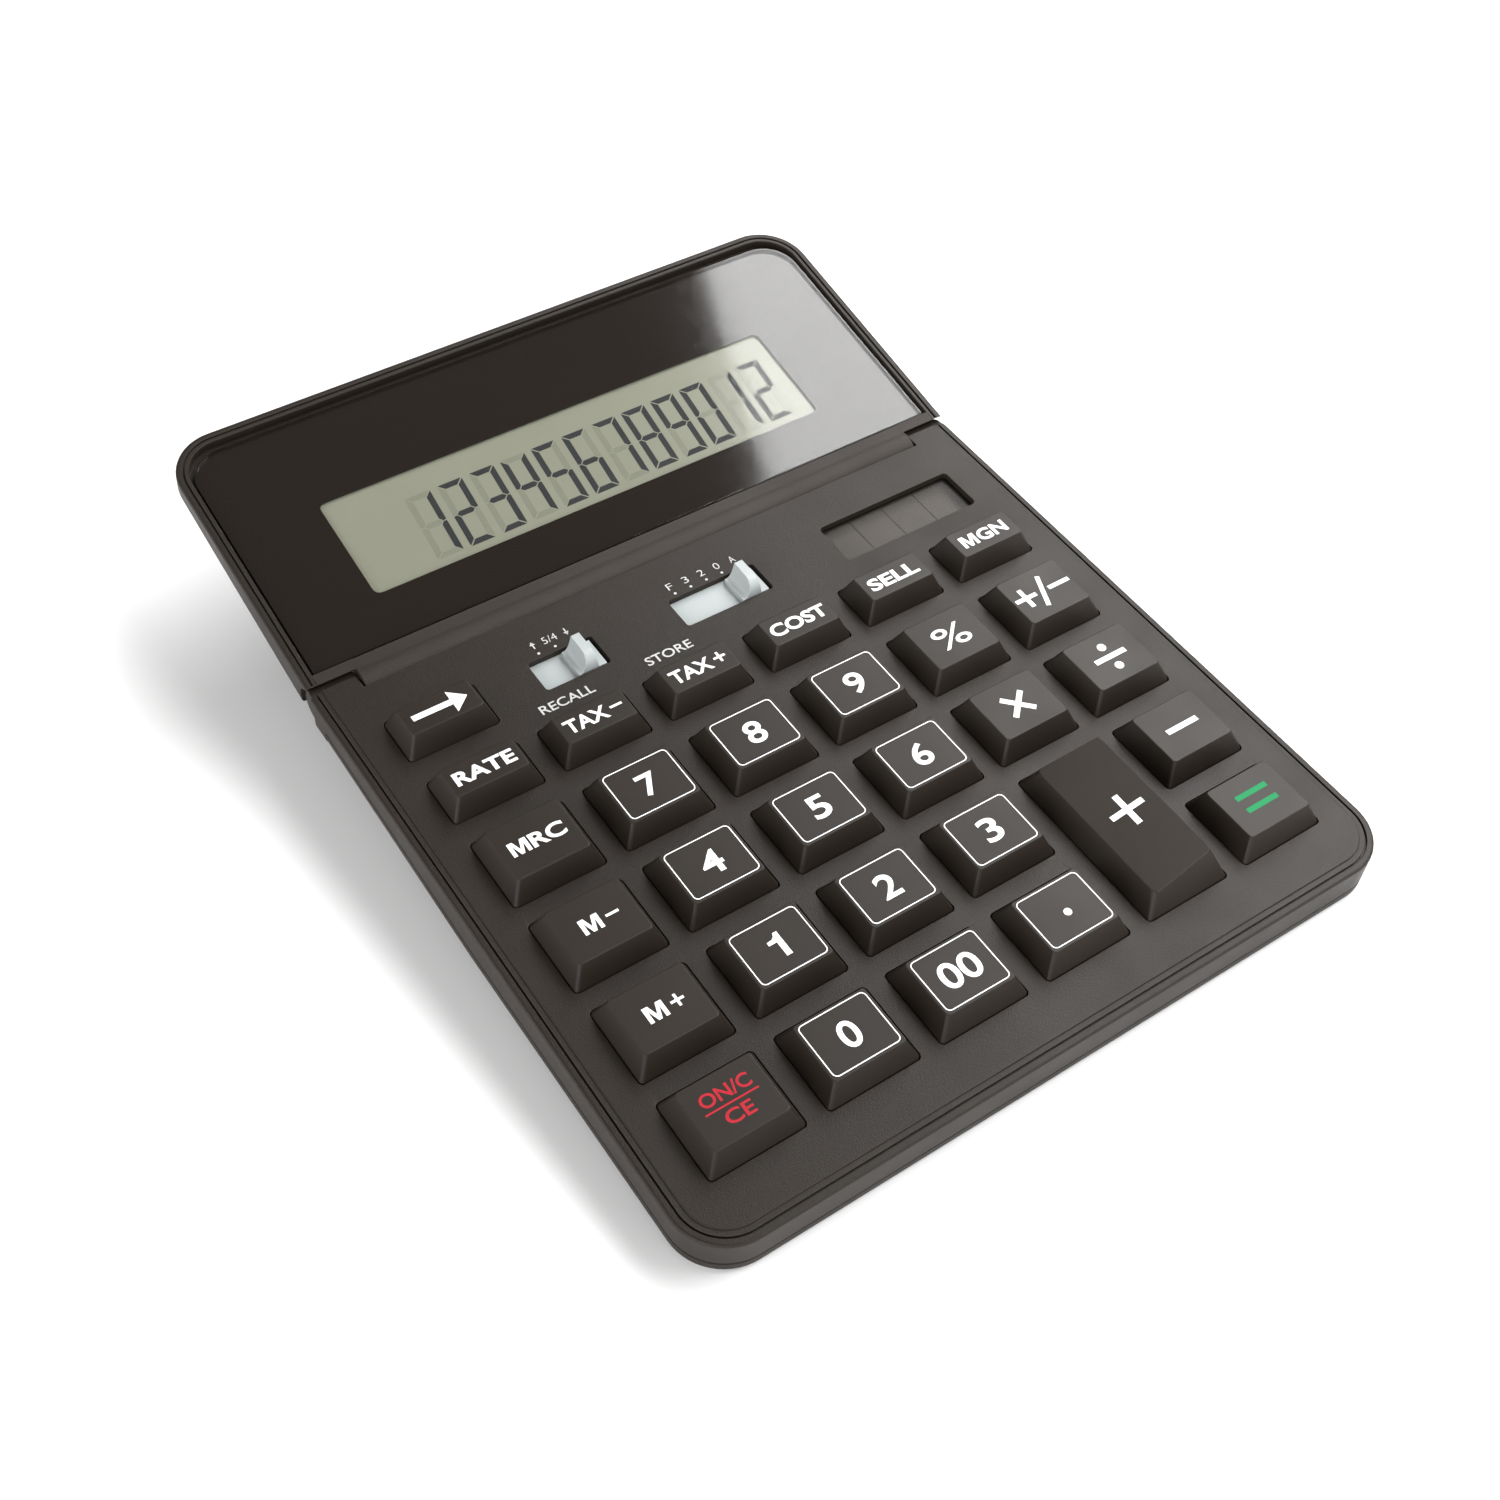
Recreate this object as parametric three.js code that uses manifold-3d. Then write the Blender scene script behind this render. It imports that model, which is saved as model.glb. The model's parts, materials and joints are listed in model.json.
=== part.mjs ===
// Desk calculator with a tilting display head, as an assembly of separate pieces.
// Millimetres, +Z up, +Y away from the user. The keypad deck slopes up towards the rear.
//
// Three frames are used:
//   base frame  floor at z = 0, under the front edge of the bottom key row
//   deck frame  z = 0 on the deck surface, y = 0 at the front edge of the bottom key row
//   head frame  origin on the hinge axis, z square to the display
import * as THREE from 'three';
import { mergeVertices } from 'three/addons/utils/BufferGeometryUtils.js';
import Module from 'manifold-3d';

const wasm = await Module();
wasm.setup();

// ---------------------------------------------------------------- driving dimensions
const GAP = 0.3;                    // working clearance between neighbours

const DECK_SLOPE = THREE.MathUtils.degToRad(4.8);
const DECK_HEIGHT = 10.1;           // deck surface above the floor at y = 0
const HALF_WIDTH = 74.4;            // outer half width of body and head
const FRONT = -11.5;                // front face of the body
const CORNER = 10.4;                // plan radius of the outer corners
const WALL = 2.2;                   // side wall thickness of the shells
const DECK_THICK = 1.8;
const RIM_TOP = -0.3;               // rim level, just under the raised deck
const RIM_ROUND = 0.6;              // rounding of the rim's outer edge
const RIM_WIDTH = 2.7;              // outer wall to the raised deck
const GROOVE_OUT = 1.35;            // groove walls, measured in from the outer wall
const GROOVE_IN = 1.75;
const GROOVE_DEPTH = 0.9;

const AXIS_Y = 122.1;               // hinge axis in the deck frame
const AXIS_Z = -3.6;
const BARREL_RADIUS = 4.5;
const BARREL_CLEAR = 4.9;
const KNUCKLE_RADIUS = 3.8;
const BARREL_HALF = 64.2;           // half length of the head's barrel
const EAR_INNER = 64.6;             // inner faces of the body's ears
const PIN_RADIUS = 1.3;
const PIN_HOLE = 1.6;

// keypad: six columns, rows counted from the rear
const FIELD_HALF = 66;
const COLUMN_PITCH = 22.656;
const OPENING_WIDTH = 18.72;
const OPENING_DEPTH = 16.26;
const SHORT_DEPTH = 11.2;
const ROW_FRONT = [98.1, 81.55, 60.45, 40.3, 20.15, 0];
const OPENING_CORNER = 0.9;
const KEY_SEGMENTS = 1;             // facets per rounded corner of keys and openings
const KEY_RISE = 4.4;               // key top above the deck
const KEY_INSET = 2.2;              // top face inset from the opening
const KEY_CLEAR = 0.35;             // key side to opening
const KEY_TRAVEL = 1.6;
const FLANGE_TOP = -2.1;
const FLANGE_BOTTOM = -2.8;
const FLANGE_REACH = 0.8;           // flange beyond the opening
const PLUS_RISE = 2.3;              // the plus key's top is this much higher along its right edge

// stack under the keys, deck frame heights
const MAT_TOP = -5.2;
const MAT_BOTTOM = -5.7;
const DOME_TOP = FLANGE_BOTTOM - KEY_TRAVEL - GAP;
const BOARD_TOP = -6.0;
const BOARD_BOTTOM = -7.2;
const INNER_HALF = 64.2;            // half width of mat and board

// case underside
const PLINTH_HALF = 66;
const PLINTH_FRONT = -5;
const PLINTH_REAR = 112;
const PLINTH_BOTTOM = 1.3;          // above the floor
const PLINTH_WALL = 1.5;
const PLINTH_CORNER = 4;
const CASE_REAR = 116.1;
const REAR_WALL = 114.6;            // inner face of the body's rear wall
const PLAN_SEGMENTS = 7;            // facets per outer plan corner
// lower edge of the upper shell and underside of the lower shell, along the side: [y, z]
const PARTING = [[-20, -6.1], [62, -7.2], [116.4, -4.7]];
const UNDERSIDE = [[-20, -8.0], [62, -9.2], [CASE_REAR, -6.6]];
const SCREW_X = 69.4;
const SCREW_Y = [9.5, 95];
const SCREW_SPOTS = SCREW_Y.flatMap((y) => [[-SCREW_X, y], [SCREW_X, y]]);
const SCREW_HOLE = 1.4;             // radius of the thread core and the clearance hole
const SCREW_SHANK = 1.05;
const SCREW_HEAD = 2.0;
const SCREW_SEAT = 0.95;            // depth of the head's recess in the underside
const BOSS_RADIUS = 2.3;
const COLUMN_RADIUS = 2.6;
const BOSS_BOTTOM = -5.0;
const COLUMN_TOP = BOSS_BOTTOM - GAP;
const FOOT_X = 54;
const FOOT_Y = [5, 102];
const FOOT_SPOTS = FOOT_Y.flatMap((y) => [[-FOOT_X, y], [FOOT_X, y]]);
const FOOT_RADIUS = 5;
const CELL = { x: -25, y: 94, radius: 5.8, bottom: 3.3, top: 8.7 };
const DOOR_RADIUS = 9;
const DOOR_TOP = 2.9;
const DOOR_RING = 1.6;              // wall of the ring around the door
const DOOR_RING_TOP = 8.9;

// deck windows
const SWITCH_FRONT = 100.3;
const SWITCH_REAR = 108.0;
const ROUNDING = { left: -36.3, right: -22.3, knob: -26.1, travel: 7.0 };
const DECIMAL = { left: -4.95, right: 15.0, knob: 11.15, travel: 12.8 };
const TRACK_SIDE = 1.1;             // spare room at the end of a slider's track
const TRACK_EDGE = 0.9;             // track beyond the window, front and rear
const PLATE_TOP = -1.4;             // slider plate, seen through the window
const PLATE_BOTTOM = -2.3;
const KNOB_HALF = 3;
const KNOB_HEIGHT = 3.1;            // finger fin above the deck
const SOLAR = { x0: 32.2, x1: 64.5, y0: 98.6, y1: 109.1 };
const SOLAR_SEAT = 1.3;             // ledge around the window pane
const RIBBON_HALF = 12;
const RIBBON_ROOM = 12.6;

// display head, head frame
const HEAD_TILT = THREE.MathUtils.degToRad(9.6);
const HEAD_FRONT = 1.7;
const HEAD_REAR = 65.3;
const HEAD_RIM = 4.2;
const LENS_TOP = 3.8;
const LENS_BOTTOM = 2.6;
const LENS_HALF = 71.6;
const LENS_FRONT = 4.3;
const LENS_REAR = 61.4;
const LENS_CORNER = 7.7;
const SEAT = LENS_BOTTOM - GAP;     // bezel plate under the lens
const SEAT_UNDER = 1.3;
const LCD = { x0: -54.6, x1: 53.8, y0: 13.6, y1: 42.4, top: 2.3, bottom: -0.1 };

const FAR = 200;                    // reach of cutters that run right past the object

const COLOUR = {
  case: 0x4b4641, key: 0x3b3632, lens: 0x26221e, slider: 0xd6dadb, lcd: 0x93957f, glass: 0x4a4439,
  steel: 0xb4b6b8, board: 0x2f5a3a, mat: 0x77797a, rubber: 0x1d1c1b, zebra: 0xd98a9a, copper: 0xb98a4a,
};

// ---------------------------------------------------------------- helpers
// A closed geometry as a solid for joining and cutting.
function solid(geometry) {
  const bare = geometry.index ? geometry.toNonIndexed() : geometry.clone();
  bare.deleteAttribute('normal');
  bare.deleteAttribute('uv');
  const welded = mergeVertices(bare, 1e-4);
  const vertProperties = new Float32Array(welded.attributes.position.array);
  const triVerts = new Uint32Array(welded.index.array);
  return new wasm.Manifold(new wasm.Mesh({ numProp: 3, vertProperties, triVerts }));
}

function geometryOf(body) {
  const { vertProperties, triVerts } = body.getMesh();
  const geometry = new THREE.BufferGeometry();
  geometry.setAttribute('position', new THREE.BufferAttribute(vertProperties, 3));
  geometry.setIndex(new THREE.BufferAttribute(triVerts, 1));
  geometry.computeVertexNormals();
  return geometry;
}

function roundedRect(x0, y0, x1, y1, front, rear = front) {
  const shape = new THREE.Shape();
  shape.moveTo(x0 + front, y0);
  shape.lineTo(x1 - front, y0);
  if (front > 0) shape.absarc(x1 - front, y0 + front, front, -Math.PI / 2, 0, false);
  shape.lineTo(x1, y1 - rear);
  if (rear > 0) shape.absarc(x1 - rear, y1 - rear, rear, 0, Math.PI / 2, false);
  shape.lineTo(x0 + rear, y1);
  if (rear > 0) shape.absarc(x0 + rear, y1 - rear, rear, Math.PI / 2, Math.PI, false);
  shape.lineTo(x0, y0 + front);
  if (front > 0) shape.absarc(x0 + front, y0 + front, front, Math.PI, 1.5 * Math.PI, false);
  return shape;
}

// The two end faces lie exactly at z0 and z1, so that stacked pieces meet.
function extruded(shape, z0, z1, segments = 3) {
  const options = { depth: z1 - z0, bevelEnabled: false, curveSegments: segments };
  const geometry = new THREE.ExtrudeGeometry(shape, options);
  const position = geometry.attributes.position;
  for (let i = 0; i < position.count; i += 1) {
    position.setZ(i, position.getZ(i) > (z1 - z0) / 2 ? z1 : z0);
  }
  return geometry;
}

function prism(shape, z0, z1, segments) {
  return solid(extruded(shape, z0, z1, segments));
}

function block(x0, y0, z0, x1, y1, z1) {
  return prism(roundedRect(x0, y0, x1, y1, 0), z0, z1);
}

// A shape drawn in (y, z), extruded along x.
function alongX(shape, x0, x1, segments = 3) {
  const y = new THREE.Vector3(0, 1, 0);
  const z = new THREE.Vector3(0, 0, 1);
  const x = new THREE.Vector3(1, 0, 0);
  return solid(extruded(shape, x0, x1, segments).applyMatrix4(new THREE.Matrix4().makeBasis(y, z, x)));
}

function profile(points, x0 = -FAR, x1 = FAR) {
  return alongX(new THREE.Shape(points.map(([y, z]) => new THREE.Vector2(y, z))), x0, x1);
}

function rodX(y, z, radius, x0, x1, segments = 24) {
  const rod = new THREE.CylinderGeometry(radius, radius, x1 - x0, segments);
  return solid(rod.rotateZ(Math.PI / 2).translate((x0 + x1) / 2, y, z));
}

function rodZ(x, y, radius, z0, z1, segments = 20) {
  const rod = new THREE.CylinderGeometry(radius, radius, z1 - z0, segments);
  return solid(rod.rotateX(Math.PI / 2).translate(x, y, (z0 + z1) / 2));
}

// A slab whose upper edge is rounded off.
function roundedTop(shape, z0, z1, round, segments) {
  const options = {
    depth: z1 - z0, bevelThickness: round, bevelSize: round, bevelOffset: -round,
    bevelSegments: 1, curveSegments: segments,
  };
  return solid(new THREE.ExtrudeGeometry(shape, options).translate(0, 0, z0 - round));
}

// A shape with a smaller one cut out of it, as a ring-shaped cutter.
function ringCutter(outer, inner, z0, z1, segments) {
  return prism(outer, z0, z1, segments).subtract(prism(inner, z0 - 1, z1 + 1, segments));
}

function joined(parts) {
  return parts.reduce((whole, part) => whole.add(part));
}

function without(body, cutters) {
  return cutters.reduce((whole, cutter) => whole.subtract(cutter), body);
}

// ---------------------------------------------------------------- scene graph
const calculator = new THREE.Group();
const deckFrame = new THREE.Group();
deckFrame.position.set(0, 0, DECK_HEIGHT);
deckFrame.rotation.x = DECK_SLOPE;
calculator.add(deckFrame);
const headFrame = new THREE.Group();
headFrame.position.set(0, AXIS_Y, AXIS_Z);
headFrame.rotation.x = HEAD_TILT;
deckFrame.add(headFrame);
deckFrame.updateMatrix();
const baseToDeck = deckFrame.matrix.clone().invert();

function place(frame, name, body, color, roughness, metalness = 0) {
  const material = new THREE.MeshStandardMaterial({ color, roughness, metalness });
  const mesh = new THREE.Mesh(geometryOf(body), material);
  mesh.name = name;
  frame.add(mesh);
}

// A solid drawn in the base frame, carried into the deck frame.
function fromBase(body) {
  return solid(geometryOf(body).applyMatrix4(baseToDeck));
}

// ---------------------------------------------------------------- keys
// [name, column, row]
const KEYS = [
  ['key_arrow', 0, 0], ['key_rate', 0, 1], ['key_mrc', 0, 2], ['key_m_minus', 0, 3], ['key_m_plus', 0, 4],
  ['key_on_c_ce', 0, 5], ['key_tax_minus', 1, 1], ['key_7', 1, 2], ['key_4', 1, 3], ['key_1', 1, 4],
  ['key_0', 1, 5], ['key_tax_plus', 2, 1], ['key_8', 2, 2], ['key_5', 2, 3], ['key_2', 2, 4],
  ['key_00', 2, 5], ['key_cost', 3, 1], ['key_9', 3, 2], ['key_6', 3, 3], ['key_3', 3, 4],
  ['key_point', 3, 5], ['key_sell', 4, 1], ['key_percent', 4, 2], ['key_multiply', 4, 3],
  ['key_plus', 4, 5], ['key_mgn', 5, 1], ['key_sign', 5, 2], ['key_divide', 5, 3], ['key_minus', 5, 4],
  ['key_equals', 5, 5],
];

// The opening of a key in the deck: rows 0 and 1 are short, the plus key spans two rows.
function keyOpening([name, column, row]) {
  const x0 = -FIELD_HALF + column * COLUMN_PITCH;
  const y0 = ROW_FRONT[row];
  const depth = row < 2 ? SHORT_DEPTH : OPENING_DEPTH;
  const y1 = name === 'key_plus' ? ROW_FRONT[row - 1] + OPENING_DEPTH : y0 + depth;
  return { x0, y0, x1: x0 + OPENING_WIDTH, y1 };
}

function openingShape({ x0, y0, x1, y1 }, grow, radius) {
  return roundedRect(x0 - grow, y0 - grow, x1 + grow, y1 + grow, radius);
}

// The part above the deck: straight sides leaning in to a smaller top face. The top may be
// higher along its right edge, where the sides run on up to it at the same lean.
function keyCrown(opening, rise) {
  const crown = extruded(openingShape(opening, -KEY_CLEAR, OPENING_CORNER), 0, KEY_RISE, KEY_SEGMENTS);
  const centreX = (opening.x0 + opening.x1) / 2;
  const centreY = (opening.y0 + opening.y1) / 2;
  const position = crown.attributes.position;
  for (let i = 0; i < position.count; i += 1) {
    const x = position.getX(i);
    const y = position.getY(i);
    if (position.getZ(i) > KEY_RISE / 2) {
      const height = KEY_RISE + (x > centreX ? rise : 0);
      const lean = ((KEY_INSET - KEY_CLEAR) * height) / KEY_RISE;
      position.setXYZ(i, x - Math.sign(x - centreX) * lean, y - Math.sign(y - centreY) * lean, height);
    }
  }
  return solid(crown);
}

function makeKey(key) {
  const opening = keyOpening(key);
  const { x0, y0, x1, y1 } = opening;
  const centreX = (x0 + x1) / 2;
  const centreY = (y0 + y1) / 2;
  const hollow = KEY_INSET + 1.2;
  const reach = FLANGE_REACH;
  const stemX = 2.4;
  const stemY = 1.2;
  const outside = joined([
    keyCrown(opening, key[0] === 'key_plus' ? PLUS_RISE : 0),
    prism(openingShape(opening, -KEY_CLEAR, OPENING_CORNER), FLANGE_TOP, 0, KEY_SEGMENTS),
    block(x0 - reach, y0 - reach, FLANGE_BOTTOM, x1 + reach, y1 + reach, FLANGE_TOP),
  ]);
  const ceiling = KEY_RISE - 1.6;
  const inside = block(x0 + hollow, y0 + hollow, FLANGE_BOTTOM - 1, x1 - hollow, y1 - hollow, ceiling);
  const plunger = block(
    centreX - stemX, centreY - stemY, FLANGE_BOTTOM,
    centreX + stemX, centreY + stemY, ceiling + 0.6,
  );
  place(deckFrame, key[0], outside.subtract(inside).add(plunger), COLOUR.key, 0.55);
}

// ---------------------------------------------------------------- body shells
function bodyPlan(inset, rear) {
  const front = FRONT + inset;
  return roundedRect(-HALF_WIDTH + inset, front, HALF_WIDTH - inset, rear, CORNER - inset, 0);
}

function raised(line, amount) {
  return line.map(([y, z]) => [y, z + amount]);
}

function makeTopCase() {
  const earBottom = -7.2;
  const blank = roundedTop(bodyPlan(0, AXIS_Y), -30, RIM_TOP, RIM_ROUND, PLAN_SEGMENTS);
  const earFront = PARTING[2][0];
  const pastEar = AXIS_Y + 1;
  const outline = profile([
    [pastEar, 1], [PARTING[0][0], 1], ...PARTING, [earFront, earBottom], [pastEar, earBottom],
  ]);
  const knuckle = rodX(AXIS_Y, AXIS_Z, KNUCKLE_RADIUS, -HALF_WIDTH + GAP, HALF_WIDTH - GAP, 24);
  const belowRim = block(-FAR, 0, -FAR, FAR, FAR, RIM_TOP);
  const betweenEars = block(-EAR_INNER, 0, -FAR, EAR_INNER, FAR, FAR);
  const knuckles = knuckle.intersect(belowRim).subtract(betweenEars);
  const deck = prism(bodyPlan(RIM_WIDTH, AXIS_Y + 0.5), -DECK_THICK, 0, PLAN_SEGMENTS);
  const groove = ringCutter(
    bodyPlan(GROOVE_OUT, AXIS_Y + 5), bodyPlan(GROOVE_IN, AXIS_Y + 6),
    RIM_TOP - GROOVE_DEPTH, 1, PLAN_SEGMENTS,
  );
  const cavity = prism(bodyPlan(WALL, REAR_WALL), -30, -DECK_THICK, PLAN_SEGMENTS);
  const shell = blank.intersect(outline).add(knuckles).subtract(groove).add(deck).subtract(cavity);
  const barrelRoom = rodX(AXIS_Y, AXIS_Z, BARREL_CLEAR, -EAR_INNER, EAR_INNER, 28);
  const behindBarrel = block(-EAR_INNER, AXIS_Y - 1, -FAR, EAR_INNER, FAR, FAR);
  const bosses = SCREW_SPOTS.map(([x, y]) => rodZ(x, y, BOSS_RADIUS, BOSS_BOTTOM, -DECK_THICK + 0.1));
  const bossHoles = SCREW_SPOTS.map(([x, y]) => rodZ(x, y, SCREW_HOLE, BOSS_BOTTOM - 1, -2.4, 16));
  const pinHoles = [[-71, -60], [60, 71]].map(([x0, x1]) => rodX(AXIS_Y, AXIS_Z, PIN_HOLE, x0, x1, 12));
  const keyHoles = KEYS.map((key) =>
    prism(openingShape(keyOpening(key), 0, OPENING_CORNER), -5, 2, KEY_SEGMENTS));
  const windows = [ROUNDING, DECIMAL].map(({ left, right }) =>
    prism(roundedRect(left, SWITCH_FRONT, right, SWITCH_REAR, 0.6), -5, 2, 2));
  const tracks = [ROUNDING, DECIMAL].map(({ left, right, travel }) => block(
    left - travel - TRACK_SIDE, SWITCH_FRONT - TRACK_EDGE, -4,
    right + GAP, SWITCH_REAR + TRACK_EDGE, PLATE_TOP + GAP,
  ));
  const solarHole = prism(roundedRect(SOLAR.x0, SOLAR.y0, SOLAR.x1, SOLAR.y1, 0.8), -5, 2, 2);
  const solarSeat = block(
    SOLAR.x0 - SOLAR_SEAT, SOLAR.y0 - SOLAR_SEAT, -4,
    SOLAR.x1 + SOLAR_SEAT, SOLAR.y1 + SOLAR_SEAT, -1,
  );
  const ribbonNotch = block(-RIBBON_ROOM, REAR_WALL - 1, -12, RIBBON_ROOM, AXIS_Y, AXIS_Z);
  const openings = [...keyHoles, ...windows, ...tracks, solarHole, solarSeat];
  const cutters = [barrelRoom, behindBarrel, ...pinHoles, ...openings, ribbonNotch];
  const body = without(without(shell, cutters).add(joined(bosses)), bossHoles);
  place(deckFrame, 'top_case', body, COLOUR.case, 0.6);
}

// Height of the lower shell's underside at y, deck frame.
function underside(y) {
  const [start, low, end] = UNDERSIDE;
  const [[y0, z0], [y1, z1]] = y < low[0] ? [start, low] : [low, end];
  return z0 + ((z1 - z0) * (y - y0)) / (y1 - y0);
}

function makeBottomCase() {
  const outline = profile([...raised(PARTING, -GAP), ...[...UNDERSIDE].reverse()]);
  const tray = prism(bodyPlan(0, CASE_REAR), -30, 0, PLAN_SEGMENTS).intersect(outline);
  const plinthPlan = roundedRect(-PLINTH_HALF, PLINTH_FRONT, PLINTH_HALF, PLINTH_REAR, PLINTH_CORNER);
  const hollowPlan = roundedRect(
    -PLINTH_HALF + PLINTH_WALL, PLINTH_FRONT + PLINTH_WALL,
    PLINTH_HALF - PLINTH_WALL, PLINTH_REAR - PLINTH_WALL, PLINTH_CORNER - PLINTH_WALL,
  );
  const floorTop = PLINTH_BOTTOM + 1.3;
  const aboveFloor = fromBase(block(-FAR, -FAR, PLINTH_BOTTOM, FAR, FAR, FAR));
  const aboveInside = fromBase(block(-FAR, -FAR, floorTop, FAR, FAR, FAR));
  const plinth = prism(plinthPlan, -30, -7.2, 4).intersect(aboveFloor);
  const lowRoom = prism(hollowPlan, -30, 5, 4).intersect(aboveInside);
  const trayRoom = prism(bodyPlan(WALL, REAR_WALL - 0.8), -30, 5, PLAN_SEGMENTS).intersect(
    profile([[CASE_REAR, 6], [UNDERSIDE[0][0], 6], ...raised(UNDERSIDE, 1.4)]),
  );
  const columns = SCREW_SPOTS.map(([x, y]) => rodZ(x, y, COLUMN_RADIUS, underside(y) + 0.2, COLUMN_TOP));
  const screwHoles = SCREW_SPOTS.map(([x, y]) => rodZ(x, y, SCREW_HOLE, -20, 0, 16));
  const screwSeats = SCREW_SPOTS.map(([x, y]) => rodZ(x, y, BOSS_RADIUS, -20, underside(y) + SCREW_SEAT));
  const footSeats = FOOT_SPOTS.map(([x, y]) =>
    fromBase(rodZ(x, y, FOOT_RADIUS + GAP, 0, PLINTH_BOTTOM + 0.7)));
  const { x, y } = CELL;
  const doorRing = fromBase(rodZ(x, y, DOOR_RADIUS + DOOR_RING, PLINTH_BOTTOM, DOOR_RING_TOP, 32));
  const doorHole = fromBase(rodZ(x, y, DOOR_RADIUS + GAP, 0, 12, 32));
  const shell = tray.add(plinth).subtract(trayRoom).subtract(lowRoom).add(joined(columns)).add(doorRing);
  const ribbonNotch = block(-RIBBON_ROOM, REAR_WALL - 2, -5.2, RIBBON_ROOM, CASE_REAR + 1, 0);
  const cutters = [...screwHoles, ...screwSeats, ...footSeats, doorHole, ribbonNotch];
  place(deckFrame, 'bottom_case', without(shell, cutters), COLOUR.case, 0.65);
}

// ---------------------------------------------------------------- inside the body
function makeKeypadMat() {
  const arrow = keyOpening(KEYS[0]);
  const sheet = new THREE.Shape([
    [-INNER_HALF, -1], [INNER_HALF, -1], [INNER_HALF, 94.5], [arrow.x1 + 1, 94.5],
    [arrow.x1 + 1, 108.5], [-INNER_HALF, 108.5],
  ].map(([x, y]) => new THREE.Vector2(x, y)));
  const domes = KEYS.map((key) => {
    const { x0, y0, x1, y1 } = keyOpening(key);
    return rodZ((x0 + x1) / 2, (y0 + y1) / 2, 3.2, MAT_BOTTOM + 0.1, DOME_TOP, 8);
  });
  place(deckFrame, 'keypad_mat', prism(sheet, MAT_BOTTOM, MAT_TOP).add(joined(domes)), COLOUR.mat, 0.8);
}

function makeBoards() {
  const board = prism(roundedRect(-INNER_HALF, -2, INNER_HALF, 109.5, 3), BOARD_BOTTOM, BOARD_TOP);
  place(deckFrame, 'main_board', board, COLOUR.board, 0.5);
  const bedLeft = ROUNDING.left - ROUNDING.travel - TRACK_SIDE;
  const bedRight = DECIMAL.right + 1.5;
  const switchBlock = block(bedLeft, 99, MAT_BOTTOM, bedRight, 109, PLATE_BOTTOM - GAP);
  place(deckFrame, 'switch_block', switchBlock, COLOUR.key, 0.5);
  const ribbon = block(-RIBBON_HALF, REAR_WALL - 4.2, -4.3, RIBBON_HALF, AXIS_Y - 1.5, -4.0);
  place(deckFrame, 'display_ribbon', ribbon, COLOUR.copper, 0.5);
}

function makeSolar() {
  const glass = block(SOLAR.x0 - 1, SOLAR.y0 - 1, -2.3, SOLAR.x1 + 1, SOLAR.y1 + 1, -1.3);
  place(deckFrame, 'solar_window', glass, COLOUR.glass, 0.15);
  const cell = block(SOLAR.x0 - 0.8, SOLAR.y0 - 0.8, -3.8, SOLAR.x1 + 0.8, SOLAR.y1 + 0.8, -2.6);
  place(deckFrame, 'solar_cell', cell, COLOUR.rubber, 0.3);
}

// Knob and track plate of a slide switch, standing at the right end of its window.
// The finger fin is hollowed on its left flank and slopes down to the front.
function makeSlider(name, { left, right, knob }) {
  const front = SWITCH_FRONT + 0.4;
  const rear = SWITCH_REAR - 0.6;
  const step = -0.3;
  const fin = 0.9;
  const edge = 0.6;
  const plate = block(
    left - 0.8, SWITCH_FRONT - edge, PLATE_BOTTOM,
    right - GAP, SWITCH_REAR + edge, PLATE_TOP,
  );
  const across = new THREE.Shape();
  across.moveTo(-KNOB_HALF, PLATE_BOTTOM + 0.3);
  across.lineTo(KNOB_HALF, PLATE_BOTTOM + 0.3);
  across.lineTo(KNOB_HALF, step);
  across.lineTo(fin + 0.4, step + 0.1);
  across.lineTo(fin, KNOB_HEIGHT);
  across.lineTo(-fin, KNOB_HEIGHT);
  across.quadraticCurveTo(-fin - 0.1, step, -KNOB_HALF, step);
  const along = new THREE.Shape();
  along.moveTo(front, PLATE_BOTTOM);
  along.lineTo(rear, PLATE_BOTTOM);
  along.lineTo(rear, KNOB_HEIGHT + 1);
  along.lineTo(rear - 2.8, KNOB_HEIGHT + 0.1);
  along.quadraticCurveTo(front + 1.9, KNOB_HEIGHT - 0.6, front, step);
  const crossways = extruded(across, -rear - 1, -front + 1, 4).rotateX(Math.PI / 2).translate(knob, 0, 0);
  const lengthways = alongX(along, knob - 4, knob + 4, 4);
  place(deckFrame, name, solid(crossways).intersect(lengthways).add(plate), COLOUR.slider, 0.35);
}

function makeHingePins() {
  for (const [name, x0] of [['hinge_pin_left', -70.7], ['hinge_pin_right', 60.3]]) {
    place(deckFrame, name, rodX(AXIS_Y, AXIS_Z, PIN_RADIUS, x0, x0 + 10.4, 12), COLOUR.steel, 0.25, 1);
  }
}

function makeScrews() {
  SCREW_SPOTS.forEach(([x, y], index) => {
    const seat = underside(y) + SCREW_SEAT - 0.1;
    const head = rodZ(x, y, SCREW_HEAD, seat - 0.7, seat, 16);
    const shank = rodZ(x, y, SCREW_SHANK, seat - 0.1, -2.7, 12);
    const slot = block(x - 1.4, y - 0.25, seat - 1, x + 1.4, y + 0.25, seat - 0.4);
    place(deckFrame, `case_screw_${index + 1}`, head.add(shank).subtract(slot), COLOUR.steel, 0.3, 1);
  });
}

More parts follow.
